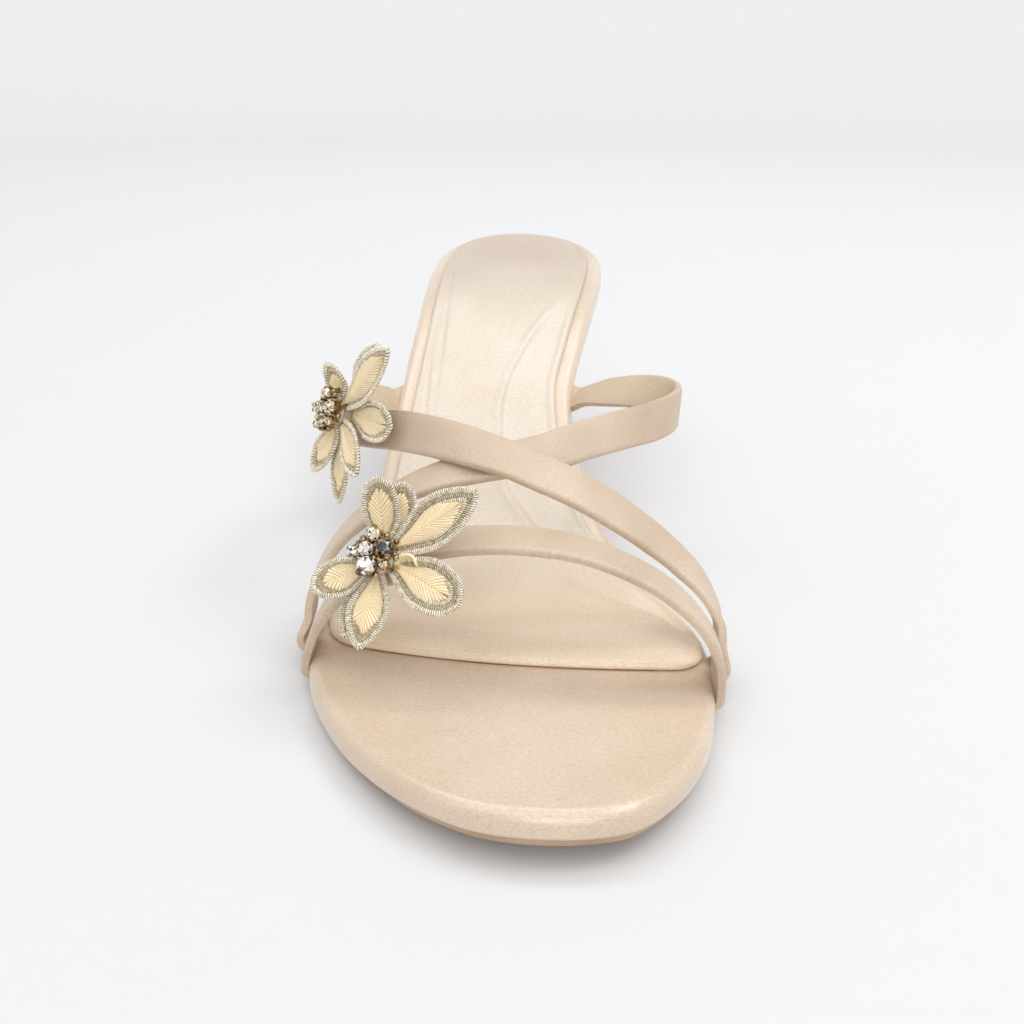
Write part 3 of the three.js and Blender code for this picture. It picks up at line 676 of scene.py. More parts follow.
def sock_relief(along, across, room):
    """Height that the padding, the arch pad's ridge and the lines add to the sock's top."""
    y = on_sole(along, across, top_height).y
    front_room = (along - sock_front_at(across)) * footbed_length
    back_room = (1 - along) * footbed_length - sock_waist_inset
    room = min(room, front_room, back_room)
    pillow = 0.0007 * ease(0, 0.006, room)
    away, gone = distance_to_path(arch_path, across, y)
    fade = ease(0, 0.08, gone) * (1 - ease(0.92, 1, gone))
    strength = 0.00055 + 0.0001 * ease(0.6, 0.9, gone)
    ridge = strength * (math.exp(-(away / 0.0012) ** 2) - 1.2 * ease(-0.0005, 0.0017, away))
    pucker = 0.00022 * ease(0.62, 0.8, gone) * math.exp(-((away + 0.003) / 0.003) ** 2)
    ridge += pucker * math.sin(gone * 95 + 40 * noise.noise(Vector((gone * 9, 5, 1))))
    lines = 0.0
    for path in line_paths:
        away, gone = distance_to_path(path, across, y)
        lines -= 0.0003 * math.exp(-(away / 0.0006) ** 2) * (1 - ease(0.85, 1, gone))
    soft = 0.00014 * noise.noise(Vector((across * 60, y * 45, 3.1)))
    return (pillow + ridge * fade + lines + soft) * ease(0, 0.002, room)


# %% Sock
sock_ball_inset = 0.0013
sock_waist_inset = 0.0044
sock_corner = 0.0065
sock_slant = 0.044
sock_waist_along = 0.45
sock_edge_round = 0.0011
sock_width = 0.0795


def sock_inset_at(along):
    past = ease(sock_along, sock_waist_along, along)
    return mix(sock_ball_inset, sock_waist_inset, past)


def sock_shift_at(along, share, inset):
    """How far a point moves back: the front's slant, its round corners and its fold."""
    left = 1 - ease(sock_along, sock_waist_along, along)
    front = 1 - ease(sock_along, sock_along + 0.05, along)
    reach = clamp(1 - min(share, 1 - share) * sock_width / sock_corner)
    corner = sock_corner * (1 - math.sqrt(1 - reach * reach))
    return sock_slant * left * (1 - share) ** 2.6 + front * (inset + corner) / footbed_length


def sock_front_at(across):
    """Where the sock's front edge is, as a share along, at a place across."""
    left, right = edge_across("lateral", turn_of(sock_along)), edge_across(
        "medial", turn_of(sock_along))
    return sock_along + sock_shift_at(sock_along, clamp((across - left) / (right - left)), 0)


sock_base = top_height + clearance / 3
sock_levels = rim_levels(
    sock_base, top_height + clearance + sock_thickness, 0.0006, sock_edge_round, 5)
sock_bm = sole_layer(
    sock_levels, sock_along, 1, 260, 90, sock_inset_at, sock_shift_at, sock_relief)
sock = finish_piece("sock_lining", sock_bm, [sock_satin], ["sock"])

# %% [markdown]
# The sock's front fold casts a thin dark shadow line in its crease. A shadow that fine
# would be lost in soft studio light, so a thin brown cord lies in the crease as a painted shadow.

# %% Crease at the sock's front
crease_inset = sock_ball_inset + 0.0003
crease_radius = 0.00022


def crease_point(share):
    turn = turn_of(sock_along)
    left = edge_point("lateral", turn, crease_inset)
    right = edge_point("medial", turn, crease_inset)
    along = mix(left[0], right[0], share) + sock_shift_at(sock_along, share, 0.0003)
    return on_sole(along, mix(left[1], right[1], share), top_height + crease_radius * 0.6)


crease_path = [crease_point(mix(0.004, 0.996, ease(-0.4, 1.4, i / 160))) for i in range(161)]
crease_bm = bmesh.new()
add_part(crease_bm, thread_mesh([crease_path], crease_radius), 0)
finish_piece("sock_crease_shadow", crease_bm, [crease_shadow_brown], [])

# %% [markdown]
# Straps
#
# Each strap is a folded band of satin. It starts under the footbed's edge, climbs over the
# foot and goes back under the other edge. A curve with a flat bevel would twist by itself at
# the bends, so the route's table also gives the direction of the band's back edge, and a
# divided tube with a flat, round-edged section is laid along the route.

# %% Strap routes
strap_width = 0.0091
strap_thickness = 0.0017
strap_lap = 0.0004
tuck_depth = 0.008
tuck_bulge = 0.002

Anchor = namedtuple("Anchor", "side along place slant bulge")
Point = namedtuple("Point", "across along rise pitch swing")
Route = namedtuple("Route", "start points end")
strap_routes = {
    "vamp": Route(
        Anchor("medial", 0.187, 0, 0, 0.25),
        [
            Point(1.025, -0.102, 0.12, 2, 0),
            Point(0.992, -0.102, 0.225, 3, 0),
            Point(0.917, -0.1, 0.347, 4, 0),
            Point(0.776, -0.093, 0.475, 5, 0),
            Point(0.6, -0.087, 0.572, 5, 0),
            Point(0.35, -0.079, 0.65, 5, 0),
            Point(0.093, -0.069, 0.663, 7, 0),
            Point(-0.16, -0.062, 0.64, 9, 0),
            Point(-0.4, -0.056, 0.573, 8, 0),
            Point(-0.64, -0.052, 0.445, 6, 0),
            Point(-0.82, -0.051, 0.285, 4, 0),
            Point(-0.918, -0.052, 0.13, 2, 0),
        ],
        Anchor("lateral", 0.232, 0, 0, 0.1),
    ),
    "under": Route(
        Anchor("lateral", 0.232, 1, 0, 1.2),
        [
            Point(-1.005, -0.008, 0.06, 2, 0),
            Point(-0.98, 0, 0.2, 4, 0),
            Point(-0.915, 0.007, 0.34, 6, 0),
            Point(-0.8, 0.01, 0.495, 8, 0),
            Point(-0.63, 0.009, 0.64, 10, 0),
            Point(-0.43, 0.006, 0.765, 14, 0),
            Point(-0.195, 0.001, 0.86, 22, 0),
            Point(0.05, 0.004, 0.906, 28, 0),
            Point(0.22, 0.022, 0.902, 30, 0),
            Point(0.4, 0.053, 0.893, 34, 0),
            Point(0.62, 0.093, 0.832, 44, 0),
            Point(0.82, 0.129, 0.74, 58, 0),
            Point(0.95, 0.158, 0.655, 74, 0),
            Point(1.003, 0.187, 0.55, 84, 90),
            Point(0.95, 0.213, 0.455, 66, 60),
            Point(0.82, 0.234, 0.36, 52, 55),
            Point(0.68, 0.254, 0.245, 42, 55),
            Point(0.555, 0.273, 0.125, 34, 55),
        ],
        Anchor("medial", 0.612, 0, 0.6, 1),
    ),
    "over": Route(
        Anchor("medial", 0.187, 1, 0, 1.2),
        [
            Point(1.08, -0.057, 0.07, 4, 0),
            Point(1.066, -0.047, 0.18, 8, 0),
            Point(0.99, -0.034, 0.315, 14, 0),
            Point(0.874, -0.024, 0.432, 21, 0),
            Point(0.742, -0.02, 0.542, 28, 0),
            Point(0.573, -0.019, 0.67, 33, 0),
            Point(0.39, -0.018, 0.787, 34, 0),
            Point(0.21, -0.015, 0.873, 33, 0),
            Point(0.03, -0.008, 0.94, 30, 0),
            Point(-0.13, 0.004, 0.966, 32, 0),
            Point(-0.319, 0.031, 0.963, 38, 0),
            Point(-0.53, 0.068, 0.91, 52, 0),
            Point(-0.74, 0.106, 0.8, 68, 0),
            Point(-0.92, 0.143, 0.66, 82, 0),
            Point(-1.015, 0.178, 0.51, 88, -90),
            Point(-1.005, 0.209, 0.385, 74, -60),
            Point(-0.925, 0.237, 0.275, 58, -55),
            Point(-0.835, 0.262, 0.145, 46, -50),
        ],
        Anchor("lateral", 0.61, 0, 0.5, 1),
    ),
}

Tuck = namedtuple("Tuck", "inside outside up")
tucks = [Tuck(1, 0, 0), Tuck(0.35, 0, 0), Tuck(0, 0.3, 0.12), Tuck(0, 1, 1.05)]


# %% Strap frames
def anchor_along(anchor):
    return anchor.along + anchor.place * (strap_width - strap_lap) / footbed_length


def tuck_points(anchor):
    middle_along = anchor_along(anchor)
    outwards = -1 if anchor.side == "lateral" else 1
    middle = outsole_thickness + clearance + strap_thickness / 2
    edge = edge_across(anchor.side, turn_of(middle_along))
    points = []
    for tuck in tucks:
        out = tuck.outside * anchor.bulge * tuck_bulge - tuck.inside * tuck_depth
        along = middle_along - anchor.slant * out / footbed_length
        points.append(on_sole(along, edge + outwards * out, middle + tuck.up * strap_thickness))
    return points


def tuck_edge(anchor):
    outwards = -1 if anchor.side == "lateral" else 1
    here = anchor_along(anchor)
    back = (on_sole(here + 0.01, 0, 0) - on_sole(here, 0, 0)).normalized()
    return (back + Vector((outwards * anchor.slant, 0, 0))).normalized()


def route_point(point):
    y = point.along * footbed_length
    return Vector((point.across * ball_width / 2, y,
                   footbed_top_at(y) + point.rise * instep_height))


def route_edge(point):
    pitch, swing = math.radians(point.pitch), math.radians(point.swing)
    return Vector((math.sin(swing) * math.cos(pitch), math.cos(swing) * math.cos(pitch),
                   math.sin(pitch)))


def laid_route(route):
    """The points of a strap's middle and the direction of its back edge at each."""
    first, last = tuck_points(route.start), tuck_points(route.end)[::-1]
    points = first + [route_point(point) for point in route.points] + last
    back_edges = (
        [tuck_edge(route.start)] * len(first)
        + [route_edge(point) for point in route.points]
        + [tuck_edge(route.end)] * len(last)
    )
    return points, back_edges


def curve_point(points, share):
    """A point on a smooth curve through the points that doesn't overshoot at tight bends."""
    at = clamp(share) * (len(points) - 1)
    i = min(int(at), len(points) - 2)
    weight = at - i
    p1, p2 = points[i], points[i + 1]
    p0 = points[i - 1] if i > 0 else 2 * p1 - p2
    p3 = points[i + 2] if i + 2 < len(points) else 2 * p2 - p1
    d0, d1, d2 = ((p1 - p0).length ** 0.5, (p2 - p1).length ** 0.5, (p3 - p2).length ** 0.5)
    t1 = ((p1 - p0) / d0 - (p2 - p0) / (d0 + d1) + (p2 - p1) / d1) * d1
    t2 = ((p2 - p1) / d1 - (p3 - p1) / (d1 + d2) + (p3 - p2) / d2) * d1
    square, cube = weight * weight, weight * weight * weight
    return (
        p1 + t1 * weight
        + (-3 * p1 + 3 * p2 - 2 * t1 - t2) * square
        + (2 * p1 - 2 * p2 + t1 + t2) * cube
    )


Frame = namedtuple("Frame", "centre run edge face")


def strap_frame(laid, share):
    """Centre, run, back edge and outer face of a strap at a share of its route."""
    points, back_edges = laid
    at = share * (len(points) - 1)
    i = min(int(at), len(points) - 2)
    edge = back_edges[i].lerp(back_edges[i + 1], at - i)
    step = 0.0001
    run = (curve_point(points, share + step) - curve_point(points, share - step)).normalized()
    edge = (edge - run * edge.dot(run)).normalized()
    return Frame(curve_point(points, share), run, edge, run.cross(edge))


laid_routes = {name: laid_route(route) for name, route in strap_routes.items()}
print("strap routes:", {name: len(points) for name, (points, _) in laid_routes.items()})

# %% Strap bands
strap_rings = 240
strap_round = 0.0006
strap_crown = 0.00018
strap_roll = 0.0001


def strap_section(outward):
    """Places round the band's section: the outer face first, then the inner one."""
    flat = strap_width / 2 - strap_round
    places = []
    for side in (1, -1):
        for i in range(13):
            across = side * mix(flat, -flat, i / 12)
            crown = strap_crown * (1 - (across / flat) ** 2)
            roll = strap_roll * math.exp(-(((flat - abs(across)) / 0.0007) ** 2))
            bow = crown + roll if side == 1 else -crown
            places.append((across, outward * (side * strap_thickness / 2 + bow)))
        for i in range(1, 5):
            turn = math.pi / 2 * side + math.pi * i / 5
            places.append((-side * flat + strap_round * math.cos(turn),
                           outward * strap_thickness / 2 * math.sin(turn)))
    return places


def strap_piece(name, route, laid, materials):
    outward = 1 if route.start.side == "lateral" else -1
    section = strap_section(outward)
    frames = [strap_frame(laid, i / (strap_rings - 1)) for i in range(strap_rings)]
    lengths = [0.0]
    for before, after in zip(frames, frames[1:]):
        lengths.append(lengths[-1] + (after.centre - before.centre).length)

    def place(corner):
        ring = round((corner.z + 0.5) * (strap_rings - 1))
        here = frames[ring]
        if math.hypot(corner.x, corner.y) < 0.25:
            return here.centre, (lengths[ring], 0)
        turn = math.atan2(corner.y, corner.x) / (2 * math.pi) * len(section)
        across, through = section[round(turn) % len(section)]
        ripple = noise.noise(Vector((lengths[ring] * 110, across * 160, ord(name[0]))))
        through += 0.00012 * ripple
        position = here.centre + here.edge * across + here.face * through
        return position, (lengths[ring], across)

    bm = divided_tube(len(section), strap_rings)
    for face in bm.faces:
        middle = face.calc_center_median()
        turn = math.atan2(middle.y, middle.x) / (2 * math.pi) % 1
        face.material_index = 1 if 0.5 < turn < 0.85 else 0
    return finish_piece(f"strap_{name}", shape(bm, place), materials, ["upper_straps"])


for name, route in strap_routes.items():
    strap_piece(name, route, laid_routes[name], [strap_satin, strap_lining])

# %% [markdown]
# Heel
#
# The heel is a moulded core under satin, with a small rubber top piece that meets the floor.
# The footbed hides it in the photograph, so it is a plain slim heel of the kind such a shoe
# has. It is a tube whose rings go from the shape of the seat to the small foot.

# %% Heel
heel_inset = 0.0013
heel_tip_width = 0.011
heel_tip_length = 0.011
heel_tip_thickness = 0.0035
heel_tip_forward = 0.019
heel_tip_bevel = 0.0003
breast_gap = 0.0008
heel_front_share = 0.25
heel_top = footbed_base - 0.0001


def seat_ring(share):
    """A point round the heel's top: along the straight front, then round the back."""
    start = turn_of(breast_along + breast_gap / footbed_length)
    if share <= heel_front_share:
        left = edge_point("lateral", start, heel_inset)
        right = edge_point("medial", start, heel_inset)
        return on_sole(left[0], mix(left[1], right[1], share / heel_front_share), heel_top)
    past = (share - heel_front_share) / (1 - heel_front_share)
    side = "medial" if past < 0.5 else "lateral"
    turn = mix(start, math.pi, 1 - abs(2 * past - 1))
    along, across = edge_point(side, turn, heel_inset)
    return on_sole(along, across, heel_top)


seat_back = on_sole(1, 0, heel_top)
heel_foot_centre = Vector((edge_across("medial", math.pi), seat_back.y - heel_tip_forward, 0))


def heel_foot_ring(share, height, inset=0.0):
    half_width, half_length = heel_tip_width / 2 - inset, heel_tip_length / 2 - inset
    if share <= heel_front_share:
        out = Vector((mix(-half_width, half_width, share / heel_front_share), -half_length, 0))
    else:
        turn = (share - heel_front_share) / (1 - heel_front_share) * math.pi
        out = Vector((half_width * math.cos(turn), half_length * (2 * math.sin(turn) - 1), 0))
    return heel_foot_centre + out + Vector((0, 0, height))


HeelRow = namedtuple("HeelRow", "down narrowed forward")
heel_rows = [
    HeelRow(0, 0, 0),
    HeelRow(0.06, 0.2, 0.16),
    HeelRow(0.14, 0.42, 0.34),
    HeelRow(0.25, 0.62, 0.5),
    HeelRow(0.4, 0.79, 0.64),
    HeelRow(0.6, 0.91, 0.78),
    HeelRow(0.8, 0.98, 0.9),
    HeelRow(1, 1, 1),
]
heel_sides = 72
heel_rings = 50
heel_foot = heel_tip_thickness + clearance / 3
heel_shares = [i / heel_sides for i in range(heel_sides)]
seat_centre = sum((seat_ring(share) for share in heel_shares), Vector()) / heel_sides


def heel_row_at(share):
    keys = list(range(len(heel_rows)))
    at = share * keys[-1]
    return [smooth_value(keys, [row[i] for row in heel_rows], at) for i in range(3)]


def heel_place(corner):
    ring = 0.5 - corner.z
    down, narrowed, forward = heel_row_at(ring)
    centre = seat_centre.lerp(heel_foot_centre, forward)
    centre.z = mix(seat_centre.z, heel_foot, down)
    if math.hypot(corner.x, corner.y) < 0.25:
        return centre, (0, down * heel_height)
    share = math.atan2(corner.y, corner.x) / (2 * math.pi) % 1
    seat = seat_ring(share) - seat_centre
    foot = heel_foot_ring(share, 0) - heel_foot_centre
    return seat.lerp(foot, narrowed) + centre, (abs(share - 0.5) * 0.1, down * heel_height)


heel_bm = shape(divided_tube(heel_sides, heel_rings), heel_place)
heel = finish_piece("heel_cover", heel_bm, [footbed_satin], ["heel"])

# %% Heel tip
def rubber(name, tone, roughness):
    material, shader = new_material(name)
    place = add_node(material, "ShaderNodeTexCoord").outputs["Object"]
    specks = stretched_noise(material, place, (900, 900, 900), 3)
    dark = tuple(0.8 * channel for channel in tone[:3]) + (1,)
    join(material, tinted(material, specks, 0.35, 0.7, dark, tone),
         shader.inputs["Base Color"])
    join(material, bumped(material, specks, 0.25, 0.0001), shader.inputs["Normal"])
    shader.inputs["Roughness"].default_value = roughness
    return material


tip_rubber = rubber("tip_rubber", colour(150, 128, 106), 0.65)
tip_rows = [(heel_tip_thickness, heel_tip_bevel), (heel_tip_thickness - heel_tip_bevel, 0),
            (heel_tip_bevel, 0), (0, heel_tip_bevel)]


def heel_tip_place(corner):
    height, inset = tip_rows[round((0.5 - corner.z) * (len(tip_rows) - 1))]
    if math.hypot(corner.x, corner.y) < 0.25:
        return heel_foot_centre + Vector((0, 0, height)), (0, height)
    share = math.atan2(corner.y, corner.x) / (2 * math.pi) % 1
    return heel_foot_ring(share, height, inset), (share, height)


heel_tip_bm = shape(divided_tube(heel_sides, len(tip_rows)), heel_tip_place)
heel_tip = finish_piece("heel_top_piece", heel_tip_bm, [tip_rubber], ["heel_tip"])

# %% [markdown]
# Flowers
#
# Each flower is a spray of stitched petals round a cluster of stones in claw settings. A
# petal has a cloth back, a fill of raffia stitches that slant out from its midrib, and a
# border of bright thread wound round a cord. The flower's own axes, right, up and facing,
# are worked out from the strap that carries it, as in the CAD.

# %% Flower frames
petal_thickness = 0.0011
petal_reach = 0.016
petal_width = 0.009
spool_radius = 0.0048
spool_post = 0.0023
spool_plate = 0.0009
spool_foot = 0.0015
stone_radius = 0.0019
setting_height = 0.0015
layer_height = petal_thickness + 2 * clearance
spool_throat = 2 * layer_height + clearance
petal_start = spool_post + clearance
petal_cup = 0.09
petal_rise = 1.5

Petal = namedtuple("Petal", "turn reach width lift layer blunt rows")
Flower = namedtuple("Flower", "strap share forward stand_off facing petals")
flowers = {
    "front": Flower("vamp", 0.655, 0.36, 0.0012, Vector((-0.24, -0.74, 0.63)), [
        Petal(99, 1, 0.88, 26, 1, 0.8, 2),
        Petal(39, 1.46, 1.15, 10, 1.4, 0.1, 3),
        Petal(-20, 1.2, 1.15, 2, 1.2, 0.7, 3),
        Petal(-89, 1.14, 0.95, 5, 1.1, 0.1, 2),
        Petal(-144, 0.92, 0.9, 14, 1, 0.6, 2),
        Petal(86, 0.98, 0.85, 8, 0, 0.8, 2),
        Petal(-106, 1.06, 0.8, 0, 0, 0, 3),
    ]),
    "back": Flower("over", 0.651, -0.33, 0.0012, Vector((-0.76, -0.58, 0.28)), [
        Petal(44, 1.65, 1.05, 6, 1.2, 0.1, 2),
        Petal(114, 0.75, 0.85, 24, 1, 0.3, 2),
        Petal(-36, 1.15, 0.9, 6, 1.2, 0.2, 2),
        Petal(-104, 1, 0.9, 10, 1, 0.2, 2),
        Petal(66, 1.2, 0.95, 0, 0, 0.3, 2),
        Petal(5, 1.18, 1, 0, 0, 0.8, 2),
        Petal(-80, 1.32, 0.85, 0, 0, 0.1, 2),
    ]),
}


def flower_matrix(flower):
    """The place and axes of a flower: X right, Y up and Z facing."""
    at = strap_frame(laid_routes[flower.strap], flower.share)
    facing = flower.facing.normalized()
    up = Vector((0, 0, 1))
    up = (up - facing * up.dot(facing)).normalized()
    right = up.cross(facing)
    outward = -1 if at.face.dot(facing) < 0 else 1
    place = (
        at.centre + at.face * outward * strap_thickness / 2
        - at.edge * flower.forward * strap_width + facing * flower.stand_off
    )
    axes = Matrix((right, up, facing)).transposed().to_4x4()
    return Matrix.Translation(place) @ axes


flower_places = {name: flower_matrix(flower) for name, flower in flowers.items()}
for name, place in flower_places.items():
    print("flower", name, "at", tuple(round(1000 * v, 2) for v in place.translation))

# %% Petal surface
outline_along = [0, 0.2, 0.42, 0.62, 0.8, 0.93, 1]
pointed_half = [0.3, 0.68, 0.99, 0.97, 0.7, 0.36, 0.06]
blunt_half = [0.3, 0.68, 0.96, 1.02, 0.94, 0.68, 0.2]


def petal_half_width(petal, along):
    """Half the width of a petal at a share of its length, between a leaf and a blunt form."""
    pointed = smooth_value(outline_along, pointed_half, clamp(along))
    blunt = smooth_value(outline_along, blunt_half, clamp(along))
    return max(0.0, mix(pointed, blunt, petal.blunt)) * petal_width * petal.width / 2


def petal_length(petal):
    return petal_reach * petal.reach - petal_start


def petal_point(petal, along, side, through):
    """A point of a petal in the flower's axes: along it, to its side, and off its middle."""
    length = petal_length(petal)
    held = (spool_radius + clearance - petal_start) / length
    free = max(0, along - held) / (1 - held)
    lift = math.radians(petal.lift)
    rise = math.sin(lift)
    base = spool_plate + clearance + petal.layer * layer_height + petal_thickness / 2
    half = petal_width * petal.width / 2
    cup = 4 * petal_cup * half / 2 * (side / half) ** 2 * min(1, 3 * free)
    slope = math.atan(petal_rise * rise * free ** (petal_rise - 1))
    height = through + cup
    flat = Vector((
        petal_start + length * along * math.cos(lift) - height * math.sin(slope),
        side,
        base + length * rise * free ** petal_rise + height * math.cos(slope),
    ))
    return Matrix.Rotation(math.radians(petal.turn), 3, "Z") @ flat


# %% [markdown]
# A petal's threads
#
# The fill is one fine grid for each petal. Its columns follow the stitches, which lean out
# from the midrib towards the tip, and a rounded height on each stitch gives the furrows
# between them. The border is real winding: thread carried in close turns round the edge, a
# fine dark row inside a broad pale one. A curve with a small bevel draws each thread, and is
# made a mesh that joins the petal.

# %% Petal cloth and stitches
cloth_margin = 0.0004
fill_inset = 0.0017
fill_base = 0.00045
fill_crown = 0.0004
stitch_pitch = 0.0009
stitch_height = 0.00022


def petal_back(petal):
    """The cloth behind the stitches."""
    def place(corner):
        along = (corner.y + 0.5) * 0.97
        side = 2 * corner.x * max(0.0002, petal_half_width(petal, along) - cloth_margin)
        point = petal_point(petal, along, side, corner.z * petal_thickness * 0.4)
        return point, (side, along * petal_length(petal))

    return shape(divided_block(8, 24, 1), place)


def petal_fill(petal):
    """Raffia stitches from the midrib to the border."""
    length = petal_length(petal)
    stitches = max(7, round(0.8 * length / stitch_pitch))
    tip_border = 0.0018 + 0.0014 * (1 - petal.blunt) + 0.0007 * (petal.rows - 2)
    end = 1 - tip_border / length
    bm = bmesh.new()
    bmesh.ops.create_grid(bm, x_segments=stitches * 8, y_segments=20, size=0.5)

    def place(corner):
        share, out = corner.x + 0.5, 2 * corner.y
        phase = share * stitches
        own = noise.noise(Vector((int(phase) * 1.7, petal.turn, math.copysign(3, out))))
        ridge = abs(math.sin(math.pi * phase)) ** 0.5 * (1 + 0.4 * own)
        root = mix(0.02, end - 0.1, share)
        tip = mix(0.3, end, share)
        inset = fill_inset + (petal.rows - 2) * third_border.spread * 1.7
        taper = clamp((end - tip) / 0.2) ** mix(0.75, 0.5, petal.blunt)
        tip_half = max(0.0, petal_half_width(petal, tip) - inset) * taper
        reach = abs(out) * (1 + (0.14 + 0.12 * own) * ridge * abs(out))
        along = mix(root, tip, reach)
        crown = fill_crown * (1 - out * out)
        rib = -0.0002 * math.exp(-((out / 0.08) ** 2))
        ends = ease(0, 0.03, share) * (1 - ease(0.97, 1, share)) * (1 - ease(0.9, 1, abs(out)))
        height = (fill_base + crown + rib + stitch_height * ridge) * ends
        side = math.copysign(tip_half * reach, out)
        return petal_point(petal, along, side, height), (abs(out) * tip_half, phase * stitch_pitch)

    return shape(bm, place)


# %% Petal borders
Border = namedtuple("Border", "inset spread height radius pitch")
outer_border = Border(0.00066, 0.00066, 0.00052, 0.00018, 0.00044)
inner_border = Border(0.00162, 0.00046, 0.0004, 0.00015, 0.00042)
third_border = Border(0.0025, 0.0005, 0.00044, 0.00016, 0.00042)
back_coarser = 1.45
turn_points = 12


def border_line(petal, inset):
    """The middle of a border row: up one side of the petal, round its tip and back."""
    length = petal_length(petal)
    steps = 80
    half_line = []
    for i in range(steps + 1):
        along = 1 - (1 - i / steps) ** 1.6
        half = petal_half_width(petal, along)
        slope = (petal_half_width(petal, along + 0.01) - petal_half_width(petal, along - 0.01)) \
            / (0.02 * length)
        norm = math.hypot(1, slope)
        side = half - inset / norm
        if side > 0.0001:
            half_line.append(Vector((along * length + inset * slope / norm, side)))
    return half_line + [Vector((point.x, -point.y)) for point in reversed(half_line)]


def wound_thread(petal, border):
    """The path of a thread wound closely round a row of the border."""
    line = border_line(petal, border.inset)
    length = petal_length(petal)
    gone = [0.0]
    for before, after in zip(line, line[1:]):
        gone.append(gone[-1] + (after - before).length)
    turns = round(gone[-1] / border.pitch)
    path = []
    span = 0
    for i in range(turns * turn_points + 1):
        want = i / (turns * turn_points) * gone[-1]
        while span < len(gone) - 2 and gone[span + 1] < want:
            span += 1
        share = (want - gone[span]) / max(1e-9, gone[span + 1] - gone[span])
        here = line[span].lerp(line[span + 1], share)
        run = (line[min(span + 3, len(line) - 1)] - line[max(span - 2, 0)]).normalized()
        angle = 2 * math.pi * i / turn_points
        uneven = 1 + 0.16 * noise.noise(Vector((i / turn_points * 1.3, petal.turn, border.inset)))
        spread = (border.spread - border.radius) * uneven
        here += Vector((-run.y, run.x)) * spread * math.cos(angle)
        up = 0.0002 + (border.height - border.radius) * uneven * math.sin(angle)
        path.append(petal_point(petal, here.x / length, here.y, up))
    return path

# %% [markdown]
# Threads and metal
#
# Raffia is a dull straw fibre with a silky streak along each stitch, and painted shade lays
# a brown line where two stitches meet. The border is a silvery gold thread: part metal, part
# pale fibre, so it glitters in the light and goes dark between the turns. The settings are aged
# gold.

# %% Raffia
def raffia_material(name, dark, light, furrow_shade):
    """Straw fibre with streaks along each stitch, and painted shade as a darker line between
    stitches.
    """
    material, shader = new_material(name)
    cloth = add_node(material, "ShaderNodeUVMap", uv_map="weave").outputs["UV"]
    streaks = stretched_noise(material, cloth, (500, 3800, 1), 3)
    parts = add_node(material, "ShaderNodeSeparateXYZ")
    join(material, cloth, parts.inputs["Vector"])
    stitch = add_node(material, "ShaderNodeMath", operation="DIVIDE")
    join(material, parts.outputs["Y"], stitch.inputs[0])
    stitch.inputs[1].default_value = stitch_pitch
    across = add_node(material, "ShaderNodeMath", operation="PINGPONG")
    join(material, stitch.outputs["Value"], across.inputs[0])
    across.inputs[1].default_value = 0.5
    base = tinted(material, streaks, 0.3, 0.7, dark, light)
    shade = tinted(material, across.outputs["Value"], 0.0, 0.1, furrow_shade, (1, 1, 1, 1))
    join(material, blended(material, "MULTIPLY", 0.85, base, shade),
         shader.inputs["Base Color"])
    join(material, bumped(material, streaks, 0.25, 0.0001), shader.inputs["Normal"])
    shader.inputs["Roughness"].default_value = 0.45
    shader.inputs["Sheen Weight"].default_value = 0.2
    return material


raffia = raffia_material(
    "raffia", colour(238, 216, 172), colour(250, 235, 199), colour(196, 156, 112))
petal_cloth = raffia_material(
    "petal_cloth", colour(150, 134, 102), colour(176, 160, 126), colour(235, 230, 220))


# %% Thread, metal and crystal
def metal_thread(name, dark, light, metallic, roughness, spots):
    """Metal or metal-wrapped thread whose tone changes over small spots."""
    material, shader = new_material(name)
    place = add_node(material, "ShaderNodeTexCoord").outputs["Object"]
    patches = stretched_noise(material, place, (spots, spots, spots), 2)
    join(material, tinted(material, patches, 0.32, 0.68, dark, light),
         shader.inputs["Base Color"])
    shader.inputs["Metallic"].default_value = metallic
    shader.inputs["Roughness"].default_value = roughness
    return material


pale_thread = metal_thread(
    "pale_thread", colour(204, 190, 156), colour(255, 250, 238), 0.25, 0.25, 1800)
dark_thread = metal_thread(
    "dark_thread", colour(168, 152, 118), colour(232, 221, 194), 0.35, 0.3, 1800)
aged_gold = metal_thread("aged_gold", colour(120, 100, 70), colour(214, 194, 156), 1, 0.25, 900)
amber_gold = metal_thread("amber_gold", colour(120, 80, 50), colour(186, 146, 104), 0.9, 0.25, 900)


def crystal_material(name):
    """Cut crystal: each facet carries its own tone, as if it caught another part of a room."""
    material, shader = new_material(name)
    facet_reflection = add_node(material, "ShaderNodeAttribute", attribute_name="facet_reflection")
    join(material, facet_reflection.outputs["Color"], shader.inputs["Base Color"])
    shader.inputs["Roughness"].default_value = 0.04
    shader.inputs["IOR"].default_value = 1.7
    shader.inputs["Coat Weight"].default_value = 0.6
    return material


crystal = crystal_material("crystal")

# %% Petals
for flower_name, flower in flowers.items():
    for i, petal in enumerate(flower.petals):
        bm = bmesh.new()
        add_part(bm, petal_back(petal), 0)
        add_part(bm, petal_fill(petal), 1)
        rows = ((2, outer_border), (3, inner_border), (2, third_border))[:petal.rows]
        for index, border in rows:
            if flower_name == "back":
                border = border._replace(
                    radius=border.radius * back_coarser, pitch=border.pitch * back_coarser)
            add_part(bm, thread_mesh([wound_thread(petal, border)], border.radius), index)
        bmesh.ops.transform(bm, matrix=flower_places[flower_name], verts=bm.verts)
        finish_piece(
            f"petal_{flower_name}_{i + 1}", bm, [petal_cloth, raffia, pale_thread, dark_thread],
            [f"flower_{flower_name}_petal_{i + 1}"], 80)
